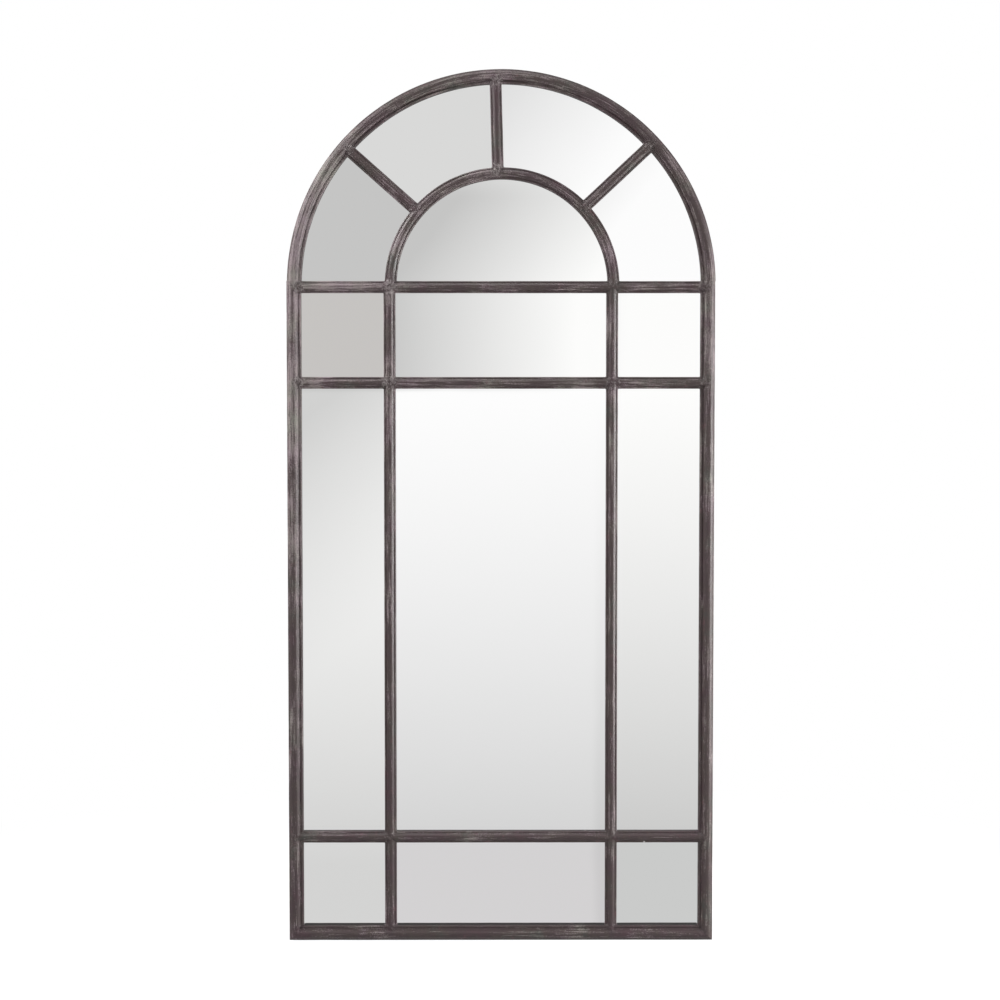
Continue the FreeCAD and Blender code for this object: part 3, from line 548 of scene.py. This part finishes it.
def mark_moulding(piece, section, measure):
    """Marks a bar or an outer moulding with painted shade in its own grooves and along the glass."""
    if min(u for u, v in section) < 0:
        beside_bead = (-7.6 * MM, 7.6 * MM)
        # painted shade: the bar's side at negative u is painted darker than its other side
        mark_grain(piece, measure, beside_bead, lambda u: 6.5 * MM, lambda u: 0.34 if u < 0 else 0.50)
    else:
        face = max(u for u, v in section)
        lip = max(v for u, v in section if u > face - 2 * MM)
        tall = lip > 9 * MM
        # painted shade along the glass side of the outer moulding, darkest on the base member's tall lip
        beside_lip, shade_top = (24.1 * MM, lip + 0.2 * MM) if tall else (21.6 * MM, lip - 1.5 * MM)
        glass_side = lambda u: shade_top if u > 26 * MM else -1
        mark_grain(piece, measure, (beside_lip,), glass_side, lambda u: 0.2 if tall else 0.3)


def cloud_texture(name, size):
    cloud = bpy.data.textures.new(name, "CLOUDS")
    cloud.noise_scale = size
    return cloud


def dress(piece, waver):
    """Knocks the moulding out of true by a fraction of a millimetre, as hand-dressed steel is."""
    modify(piece, "DISPLACE", texture=waver, strength=0.35 * MM, mid_level=0.5)
    bpy.ops.object.shade_smooth_by_angle(angle=math.radians(32))


def straight_member(section, origin, across, end, offset):
    """A moulding run straight from origin to end. offset shifts its strokes, so no two members match."""
    run = Vector(end) - Vector(origin)
    piece = section_face(section, origin, across)
    steps = max(2, round(run.length / RING_PITCH))
    edit_all(piece)
    bpy.ops.mesh.extrude_repeat(steps=steps, offset=run / steps)
    face_outwards()
    bpy.ops.object.mode_set(mode="OBJECT")
    way, side, start = run.normalized(), Vector(across), Vector(origin)

    def measure(p):
        return (p - start).dot(side), offset, (p - start).dot(way), GLASS_Y - p.y

    mark_moulding(piece, section, measure)
    return piece


def arched_member(section, radius, sense, shift, offset):
    """A moulding spun through half a turn over the spring line. sense -1 measures u inwards."""
    piece = section_face(section, (radius + shift, 0, SPRING), (sense, 0, 0))
    steps = round(math.pi * radius / RING_PITCH)
    centre = Vector((shift, 0, SPRING))
    edit_all(piece)
    bpy.ops.mesh.spin(steps=steps, angle=math.pi, center=centre, axis=(0, 1, 0))
    face_outwards()
    bpy.ops.object.mode_set(mode="OBJECT")

    def measure(p):
        out = p - centre
        reach = math.hypot(out.x, out.z)
        return (reach - radius) * sense, offset, math.atan2(out.z, out.x) * radius, GLASS_Y - p.y

    mark_moulding(piece, section, measure)
    return piece


def mitre(piece, corner, normal):
    """Saws the member through corner, drops the side that normal points to, and closes the cut."""
    edit_all(piece)
    bpy.ops.mesh.bisect(plane_co=corner, plane_no=normal, use_fill=True, clear_outer=True)
    face_outwards()
    bpy.ops.object.mode_set(mode="OBJECT")


def build_lattice():
    outer, bar = outer_section(), bar_section()
    members = {}
    for name, side in (("left_jamb", -1), ("right_jamb", 1)):
        edge = side * HALF_WIDTH
        piece = straight_member(outer, (edge, 0, 0), (-side, 0, 0), (edge, 0, BUTT_HEIGHT), 0.1 * side)
        mitre(piece, (edge, 0, 0), (-side, 0, -1))
        members[name] = piece
    base = outer_section(wide=29.0, lip=11.8)
    piece = straight_member(base, (-HALF_WIDTH, 0, 0), (0, 0, 1), (HALF_WIDTH, 0, 0), 0.3)
    mitre(piece, (-HALF_WIDTH, 0, 0), (-1, 0, 1))
    mitre(piece, (HALF_WIDTH, 0, 0), (1, 0, 1))
    members["base_member"] = piece
    members["outer_arch"] = arched_member(outer, HALF_WIDTH, -1, ARCH_STEP, 0.5)
    mitre(members["outer_arch"], (0, 0, BUTT_HEIGHT), (0, 0, -1))
    for name, side in (("left_mullion", -1), ("right_mullion", 1)):
        x = side * MULLION
        foot, head = (x, 0, OUTER_FACE / 2), (x, 0, SPRING)
        members[name] = straight_member(bar, foot, (1, 0, 0), head, 0.7 + 0.1 * side)
    members["inner_arch"] = arched_member(bar, MULLION, 1, INNER_ARCH_STEP, 1.0)
    edge, near, far = HALF_WIDTH - OUTER_FACE / 2, MULLION - 1 * MM, MULLION + 1 * MM
    lengths = {"left": (-edge, -far), "centre": (-near, near), "right": (far, edge)}
    for i, (row, z) in enumerate(RAILS.items()):
        for j, (side, (start, end)) in enumerate(lengths.items()):
            name = f"{row}_rail_{side}"
            offset = 1.3 + 0.3 * i + 0.1 * j
            members[name] = straight_member(bar, (start, 0, z), (0, 0, -1), (end, 0, z), offset)
    for i, (side, angle) in enumerate(SPOKES.items()):
        way = Vector((math.cos(math.radians(angle)), 0, math.sin(math.radians(angle))))
        centre = Vector((0, 0, SPRING))
        start, end = centre + way * MULLION, centre + way * (HALF_WIDTH - OUTER_FACE / 2)
        across = (way.z, 0, -way.x)
        members[f"{side}_spoke"] = straight_member(bar, start, across, end, 2.5 + 0.1 * i)
    waver = cloud_texture("waver", 35 * MM)
    for piece in members.values():
        dress(piece, waver)
    return members


# ---------------------------------------------------------------- weld and filler at the joints
def joints():
    """Each joint as name: ((x, z), reach, the members that meet there)."""
    inner_edge = HALF_WIDTH - 21 * MM
    places = {}
    for row, z in RAILS.items():
        for side, sense in (("left", -1), ("right", 1)):
            outer = [f"{side}_jamb", "outer_arch"] if row == "spring" else [f"{side}_jamb"]
            reach = 12 * MM if row == "base" else 17 * MM
            places[f"{row}_{side}_end"] = ((sense * inner_edge, z), reach, [f"{row}_rail_{side}"] + outer)
            meeting = [f"{row}_rail_{side}", f"{row}_rail_centre", f"{side}_mullion"]
            if row == "spring":
                meeting.append("inner_arch")
            places[f"{row}_{side}_crossing"] = ((sense * MULLION, z), 20 * MM, meeting)
    for side, sense in (("left", -1), ("right", 1)):
        foot, corner = (sense * MULLION, 22 * MM), (sense * 381 * MM, 19 * MM)
        places[f"foot_{side}"] = (foot, 16 * MM, [f"{side}_mullion", "base_member"])
        places[f"corner_{side}"] = (corner, 15 * MM, [f"{side}_jamb", "base_member"])
    for side, angle in SPOKES.items():
        c, s = math.cos(math.radians(angle)), math.sin(math.radians(angle))
        for ring, reach in (("inner_arch", MULLION + 6 * MM), ("outer_arch", inner_edge)):
            place = (c * reach, SPRING + s * reach)
            places[f"{side}_spoke_{ring[:5]}"] = (place, 16 * MM, [f"{side}_spoke", ring])
    return places


def filler_patch(centre, reach, members, lumps):
    """Filler over a weld: a lump of the members' skin, swollen at the joint and sunk in away from it."""
    deselect_all()
    for member in members:
        copy = member.copy()
        copy.data = member.data.copy()
        bpy.context.scene.collection.objects.link(copy)
        copy.select_set(True)
        bpy.context.view_layer.objects.active = copy
    bpy.ops.object.join()
    patch = bpy.context.object
    half = reach + 4 * MM
    middle = Vector((centre[0], 0, centre[1]))
    cuts = [(Vector((sense * half, 0, 0)), (sense, 0, 0)) for sense in (-1, 1)]
    cuts += [(Vector((0, 0, sense * half)), (0, 0, sense)) for sense in (-1, 1)]
    for offset, normal in cuts:
        edit_all(patch)
        bpy.ops.mesh.bisect(plane_co=middle + offset, plane_no=normal, use_fill=True, clear_outer=True)
        bpy.ops.object.mode_set(mode="OBJECT")
    modify(patch, "REMESH", mode="VOXEL", voxel_size=0.95 * MM)
    modify(patch, "SMOOTH", factor=0.5, iterations=5)
    swell = patch.vertex_groups.new(name="swell")
    for point in patch.data.vertices:
        away = math.hypot(point.co.x - centre[0], point.co.z - centre[1]) / reach
        ragged = 0.30 * noise.noise(point.co * 160) + 0.18 * noise.noise(point.co * 420)
        swell.add([point.index], min(1.0, max(0.0, 1.12 * (1 - away**2) + ragged)), "REPLACE")
    modify(patch, "DISPLACE", strength=0.95 * MM, mid_level=0.0, vertex_group="swell")
    modify(patch, "DISPLACE", strength=1.5 * MM, mid_level=0.5, vertex_group="swell", texture=lumps)
    modify(patch, "DISPLACE", strength=-0.5 * MM, mid_level=0.0)
    # the filler stops at the glass, and reaches back only over the frame's own walls
    for point in patch.data.vertices:
        over_wall = abs(point.co.x) > HALF_WIDTH - 18 * MM
        point.co.y = min(point.co.y, GLASS_Y + (14 * MM if over_wall else -0.05 * MM))
    bpy.ops.object.shade_smooth()
    return patch


def build_fillers(members, paint):
    lumps = cloud_texture("filler_lumps", 4.5 * MM)
    for name, (centre, reach, meeting) in joints().items():
        patch = filler_patch(centre, reach, [members[member] for member in meeting], lumps)
        finish_piece(patch, f"{name}_filler", "mirror", [], paint)


# ---------------------------------------------------------------- the fixings behind
REBATE_WALL = 18.5 * MM  # outer edge of the frame to the rebate's wall
STEP = REBATE_WALL + 0.5 * MM  # where a clip or the bar steps down from the frame to the board
BOARD_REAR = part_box("backing_board")[1].y
BAR_Z = (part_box("hanging_bar")[0].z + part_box("hanging_bar")[1].z) / 2
RING_Z = BAR_Z + 20 * MM
STRAP_FRONT = BOARD_REAR + 2.5 * MM
BARREL, BORE = 2.83 * MM, 1.83 * MM  # outer and inner radius of a strap's barrel
RING_Y = STRAP_FRONT + BARREL
SCREW_INSET = 11.75 * MM  # outer edge of the frame to the screws through its rear flange
RING_X = 170 * MM
BAR_HEIGHT = 56 * MM
CLIP_SHEET, BAR_SHEET, STRAP_SHEET = 1.5 * MM, 2.5 * MM, 1.0 * MM
CLIP_WIDTH, CLIP_FOOT, STRAP_WIDTH = 14 * MM, 15 * MM, 16 * MM
WIRE = 1.75 * MM  # radius of a ring's wire
PAD_RADIUS, PAD_THICKNESS = 7 * MM, 6 * MM


def rounded_run(corners, radii, steps=5):
    """A closed run of corners, each rounded to its own radius."""
    run = []
    for i, (corner, radius) in enumerate(zip(corners, radii)):
        corner = Vector(corner)
        if not radius:
            run.append(corner)
            continue
        into = (Vector(corners[i - 1]) - corner).normalized()
        out = (Vector(corners[(i + 1) % len(corners)]) - corner).normalized()
        half = into.angle(out) / 2
        centre = corner + (into + out).normalized() * radius / math.sin(half)
        start = (corner + into * radius / math.tan(half) - centre).normalized()
        end = (corner + out * radius / math.tan(half) - centre).normalized()
        run += [centre + start.slerp(end, k / steps) * radius for k in range(steps + 1)]
    return run


def plate(outline, run):
    """A flat outline in space, extruded along run."""
    deselect_all()
    bpy.ops.mesh.primitive_circle_add(vertices=len(outline), radius=0.01, fill_type="NGON")
    piece = bpy.context.object
    for point, corner in zip(piece.data.vertices, outline):
        point.co = corner
    edit_all(piece)
    bpy.ops.mesh.extrude_region_move(TRANSFORM_OT_translate={"value": run})
    face_outwards()
    bpy.ops.object.mode_set(mode="OBJECT")
    return piece


def pick(piece, kind, test):
    """Selects the faces or edges whose middle and direction pass the test, and starts editing them."""
    only(piece)
    bpy.ops.object.mode_set(mode="EDIT")
    bpy.ops.mesh.select_mode(type=kind)
    bpy.ops.mesh.select_all(action="DESELECT")
    bpy.ops.object.mode_set(mode="OBJECT")
    mesh = piece.data
    if kind == "FACE":
        for face in mesh.polygons:
            face.select = test(face.center, face.normal)
    else:
        for edge in mesh.edges:
            a, b = (mesh.vertices[i].co for i in edge.vertices)
            edge.select = test((a + b) / 2, (b - a).normalized())
    bpy.ops.object.mode_set(mode="EDIT")


def soften(piece, width):
    """Breaks the sharp edges, as tumbling after the press does."""
    sharp = math.radians(40)
    modify(piece, "BEVEL", width=width, segments=2, limit_method="ANGLE", angle_limit=sharp)
    bpy.ops.object.shade_smooth_by_angle(angle=math.radians(38))


def repeated(piece, places):
    """Copies of the piece, each with its own mesh, put at the places and joined; the pattern is dropped."""
    deselect_all()
    for place in places:
        copy = piece.copy()
        copy.data = piece.data.copy()
        copy.data.transform(place)
        bpy.context.scene.collection.objects.link(copy)
        copy.select_set(True)
        bpy.context.view_layer.objects.active = copy
    bpy.ops.object.join()
    whole = bpy.context.object
    bpy.data.objects.remove(piece)
    return whole


def facing(x, z, angle, y=0.0):
    """A placing that turns the pattern about Y so that its +X points along angle, and moves it there."""
    return Matrix.Translation((x, y, z)) @ Matrix.Rotation(-angle, 4, "Y")


def clip_stations():
    """Each clip as (x, z, direction inwards as an angle) on the frame's outer edge."""
    stations = []
    start, top, base_pitch = 110 * MM, BAR_Z - BAR_HEIGHT, HALF_WIDTH - 130 * MM
    for side in (-1, 1):
        for i in range(4):
            stations.append((side * HALF_WIDTH, start + i * (top - start) / 4, 0 if side < 0 else math.pi))
    for i in range(3):
        stations.append(((i - 1) * base_pitch, 0, math.pi / 2))
    for i in range(5):
        angle = math.radians(18 + i * 36)
        x, z = HALF_WIDTH * math.cos(angle), SPRING + HALF_WIDTH * math.sin(angle)
        stations.append((x, z, angle + math.pi))
    return stations


def cranked(thickness, foot, bend):
    """Side view of a joggled strip as (in from the outer edge, y), with its bends rounded."""
    corners = [
        (5 * MM, REAR_Y), (STEP, REAR_Y), (STEP, BOARD_REAR), (STEP + foot, BOARD_REAR),
        (STEP + foot, BOARD_REAR + thickness), (STEP + thickness, BOARD_REAR + thickness),
        (STEP + thickness, REAR_Y + thickness), (5 * MM, REAR_Y + thickness),
    ]
    small, large = bend, bend + thickness * 0.6
    return corners, [0, small, small, 0, 0, small * 0.6, large, 0]


def build_clips(zinc):
    corners, radii = cranked(CLIP_SHEET, CLIP_FOOT, 0.6 * MM)
    side_view = rounded_run(corners, radii, 4)
    clip = plate([(p, y, -CLIP_WIDTH / 2) for p, y in side_view], (0, 0, CLIP_WIDTH))
    pick(clip, "EDGE", lambda m, d: abs(d.y) > 0.9 and m.x > STEP + CLIP_FOOT - 1 * MM)
    bpy.ops.mesh.bevel(offset=3.5 * MM, segments=5)
    pick(clip, "EDGE", lambda m, d: abs(d.y) > 0.9 and m.x < 5.5 * MM)
    bpy.ops.mesh.bevel(offset=2 * MM, segments=4)
    bpy.ops.object.mode_set(mode="OBJECT")
    soften(clip, 0.22 * MM)
    clips = repeated(clip, [facing(x, z, angle) for x, z, angle in clip_stations()])
    finish_piece(clips, "pressed_board_clips", "mirror", ["board_clips"], zinc)


def build_hanging_bar(lacquer):
    corners, radii = cranked(BAR_SHEET, HALF_WIDTH - STEP, 1.0 * MM)
    left = [(p - HALF_WIDTH, y) for p, y in rounded_run(corners, radii, 5)]
    # the half profile reaches the middle of the mirror at two corners, which the whole bar doesn't have
    turn = next(i for i, (x, y) in enumerate(left) if abs(x) < 0.1 * MM)
    front, rear = left[:turn], left[turn + 2 :]
    outline = front + [(-x, y) for x, y in reversed(front)] + [(-x, y) for x, y in reversed(rear)] + rear
    bar = plate([(x, y, BAR_Z - BAR_HEIGHT / 2) for x, y in outline], (0, 0, BAR_HEIGHT))
    pick(bar, "EDGE", lambda m, d: abs(d.y) > 0.9 and abs(m.x) > HALF_WIDTH - 5.5 * MM)
    bpy.ops.mesh.bevel(offset=5 * MM, segments=6)
    bpy.ops.object.mode_set(mode="OBJECT")
    soften(bar, 0.4 * MM)
    finish_piece(bar, "cranked_hanging_bar", "mirror", ["hanging_bar"], lacquer)


def build_straps(nickel):
    """Hanger straps: a sheet folded double round the ring's wire, with a hairline between its layers."""
    end, sheet = RING_Z - 46 * MM, STRAP_SHEET
    inner, outer = STRAP_FRONT + 0.95 * sheet, STRAP_FRONT + 1.05 * sheet
    fold = RING_Z - 1.4 * MM
    neck = RING_Z - math.sqrt(BARREL**2 - (STRAP_FRONT + 2 * sheet - RING_Y) ** 2)
    side_view = [(STRAP_FRONT, end)]
    start, finish = math.pi, math.atan2(neck - RING_Z, STRAP_FRONT + 2 * sheet - RING_Y)
    for i in range(19):
        a = start + (finish - start) * i / 18
        side_view.append((RING_Y + BARREL * math.cos(a), RING_Z + BARREL * math.sin(a)))
    side_view += [(STRAP_FRONT + 2 * sheet, end), (outer, end), (outer, fold)]
    for i in range(19):
        a = math.radians(200 + 340 * i / 18)
        side_view.append((RING_Y + BORE * math.cos(a), RING_Z + BORE * math.sin(a)))
    side_view += [(inner, fold), (inner, end)]
    for side, sense in (("left", -1), ("right", 1)):
        x = sense * RING_X
        strap = plate([(x - STRAP_WIDTH / 2, y, z) for y, z in side_view], (STRAP_WIDTH, 0, 0))
        pick(strap, "EDGE", lambda m, d: abs(d.y) > 0.9 and m.z < end + 0.1 * MM)
        bpy.ops.mesh.bevel(offset=6.5 * MM, segments=8)
        bpy.ops.object.mode_set(mode="OBJECT")
        soften(strap, 0.18 * MM)
        finish_piece(strap, f"{side}_folded_strap", "mirror", [f"{side}_strap"], nickel)


def build_rings(nickel):
    """D rings of drawn wire, hanging in the straps' barrels and leaning just off them."""
    half, drop, bend = 13.75 * MM, 23.5 * MM, 4 * MM
    path = [(-(half - bend) + 2 * (half - bend) * i / 6, 0) for i in range(7)]
    for i in range(1, 7):
        a = math.radians(90 * i / 6)
        path.append((half - bend + bend * math.sin(a), bend - bend * math.cos(a)))
    bow = drop - half
    for i in range(31):
        a = math.radians(180 * i / 30)
        path.append((half * math.cos(a), bow + half * math.sin(a)))
    for i in range(6):
        a = math.radians(90 - 90 * i / 6)
        path.append((-(half - bend) - bend * math.sin(a), bend - bend * math.cos(a)))
    lean = Matrix.Rotation(math.asin(1.27 / 23.5), 4, "X")
    for side, sense in (("left", -1), ("right", 1)):
        curve = bpy.data.curves.new("ring_wire", "CURVE")
        curve.dimensions = "3D"
        curve.bevel_depth = WIRE
        curve.bevel_resolution = 5
        spline = curve.splines.new("POLY")
        spline.points.add(len(path) - 1)
        spline.use_cyclic_u = True
        for point, (x, down) in zip(spline.points, path):
            point.co = (x, 0, -down, 1)
        deselect_all()
        ring = bpy.data.objects.new("ring_wire", curve)
        bpy.context.scene.collection.objects.link(ring)
        ring.select_set(True)
        bpy.context.view_layer.objects.active = ring
        bpy.ops.object.convert(target="MESH")
        ring = bpy.context.object
        ring.data.transform(Matrix.Translation((sense * RING_X, RING_Y, RING_Z)) @ lean)
        bpy.ops.object.shade_smooth()
        finish_piece(ring, f"{side}_wire_ring", f"{side}_ring", [f"{side}_ring"], nickel)


def pan_head_screw(length):
    """A pan-head screw with a cross recess, seated at y = 0 and driven towards -Y."""
    deselect_all()
    bpy.ops.mesh.primitive_cylinder_add(
        vertices=40,
        radius=3.8 * MM,
        depth=0.6 * MM,
        location=(0, 0.3 * MM, 0),
        rotation=(math.pi / 2, 0, 0),
    )
    screw = bpy.context.object
    bpy.ops.object.transform_apply(location=True, rotation=True, scale=True)
    pick(screw, "FACE", lambda m, n: n.y > 0.9)
    for inset, rise in ((0.45, 0.55), (0.75, 0.45), (0.9, 0.35), (0.9, 0.2)):
        bpy.ops.mesh.inset(thickness=inset * MM)
        bpy.ops.transform.translate(value=(0, rise * MM, 0))
    pick(screw, "FACE", lambda m, n: n.y < -0.9)
    bpy.ops.mesh.inset(thickness=1.8 * MM)
    bpy.ops.mesh.extrude_region_move(TRANSFORM_OT_translate={"value": (0, -length, 0)})
    bpy.ops.mesh.bevel(offset=0.7 * MM, segments=1)
    bpy.ops.object.mode_set(mode="OBJECT")
    cutters = []
    for wide, tall in ((4.2, 0.95), (0.95, 4.2)):
        deselect_all()
        bpy.ops.mesh.primitive_cube_add(size=1, location=(0, 2.0 * MM, 0))
        cutter = bpy.context.object
        cutter.scale = (wide * MM, 2.2 * MM, tall * MM)
        bpy.ops.object.transform_apply(location=True, rotation=True, scale=True)
        # the driver's point tapers, and so does the recess
        pick(cutter, "FACE", lambda m, n: n.y < -0.9)
        bpy.ops.transform.resize(value=(0.55, 1, 0.55))
        bpy.ops.object.mode_set(mode="OBJECT")
        cutters.append(cutter)
    for cutter in cutters:
        modify(screw, "BOOLEAN", operation="DIFFERENCE", object=cutter)
        bpy.data.objects.remove(cutter)
    bpy.ops.object.shade_smooth_by_angle(angle=math.radians(34))
    return screw


def build_screws(zinc):
    """All the screws, each left turned as the driver stopped."""
    along = [(x + SCREW_INSET * math.cos(a), z + SCREW_INSET * math.sin(a)) for x, z, a in clip_stations()]
    on_bar = [(s * (HALF_WIDTH - SCREW_INSET), BAR_Z + d * 15 * MM) for s in (-1, 1) for d in (-1, 1)]
    on_straps = [(s * RING_X, RING_Z - drop * MM) for s in (-1, 1) for drop in (31, 41)]
    sets = (
        ("clip_screws", along, REAR_Y + CLIP_SHEET, 9 * MM),
        ("hanging_bar_screws", on_bar, REAR_Y + BAR_SHEET, 9 * MM),
        ("strap_screws", on_straps, STRAP_FRONT + 2 * STRAP_SHEET, 4.4 * MM),
    )
    for node, places, seat, length in sets:
        turned = [facing(x, z, 0.7 + 1.9 * i, seat) for i, (x, z) in enumerate(places)]
        screws = repeated(pan_head_screw(length), turned)
        finish_piece(screws, f"pan_head_{node}", "mirror", [node], zinc)


def build_pads(rubber):
    """Moulded rubber pads with a rounded rim and a shallow dish in the face that meets the wall."""
    deselect_all()
    bpy.ops.mesh.primitive_cylinder_add(
        vertices=48,
        radius=PAD_RADIUS,
        depth=PAD_THICKNESS,
        location=(0, REAR_Y + PAD_THICKNESS / 2, 0),
        rotation=(math.pi / 2, 0, 0),
    )
    pad = bpy.context.object
    bpy.ops.object.transform_apply(location=True, rotation=True, scale=True)
    pick(pad, "EDGE", lambda m, d: m.y > REAR_Y + 5.9 * MM)
    bpy.ops.mesh.bevel(offset=1.2 * MM, segments=5)
    pick(pad, "FACE", lambda m, n: n.y > 0.99 and m.y > REAR_Y + 5.9 * MM)
    bpy.ops.mesh.inset(thickness=1.2 * MM)
    bpy.ops.mesh.inset(thickness=0.6 * MM)
    bpy.ops.transform.translate(value=(0, -0.5 * MM, 0))
    bpy.ops.object.mode_set(mode="OBJECT")
    bpy.ops.object.shade_smooth_by_angle(angle=math.radians(50))
    middle = REBATE_WALL / 2
    places = [(side * (HALF_WIDTH - 48 * MM), middle) for side in (-1, 1)]
    for angle in (36, 144):
        c, s = math.cos(math.radians(angle)), math.sin(math.radians(angle))
        places.append(((HALF_WIDTH - middle) * c, SPRING + (HALF_WIDTH - middle) * s))
    pads = repeated(pad, [facing(x, z, 0) for x, z in places])
    finish_piece(pads, "moulded_wall_pads", "mirror", ["wall_pads"], rubber)


# ---------------------------------------------------------------- put together
def build():
    bpy.context.scene.view_settings.view_transform = "Standard"
    build_camera()
    build_lights()
    build_world()
    build_floor()
    members = build_lattice()
    build_fillers(members, painted_steel("dabbed_filler_and_paint", stippled=True))
    brushed = painted_steel("dry_brushed_brown_paint")
    for name, piece in members.items():
        finish_piece(piece, f"{name}_moulding", "mirror", [name], brushed)
    nodes = frame["nodes"]
    for name, (tint, tilt) in PANE_LOOKS.items():
        coat_with(nodes[name], silvered_glass(f"silvered_glass_{name[5:]}", tint, tilt))
    zinc = plated_steel("bright_zinc_plated_steel", "#c9cac8", "#a9abac", 0.34, 260)
    nickel = plated_steel("nickel_plated_steel", "#cfcbc4", "#b4b0a9", 0.22, 180)
    build_clips(zinc)
    build_hanging_bar(black_lacquer())
    build_straps(nickel)
    build_rings(nickel)
    build_screws(zinc)
    build_pads(soft_material("black_rubber", "#262525", "#171717", 0.72, 700))
    coat_with(nodes["backing_board"], hardboard())
    coat_with(nodes["mounting_tape"], soft_material("white_foam_tape", "#dcd9d1", "#c6c2b8", 0.8, 900))


build()
deselect_all()
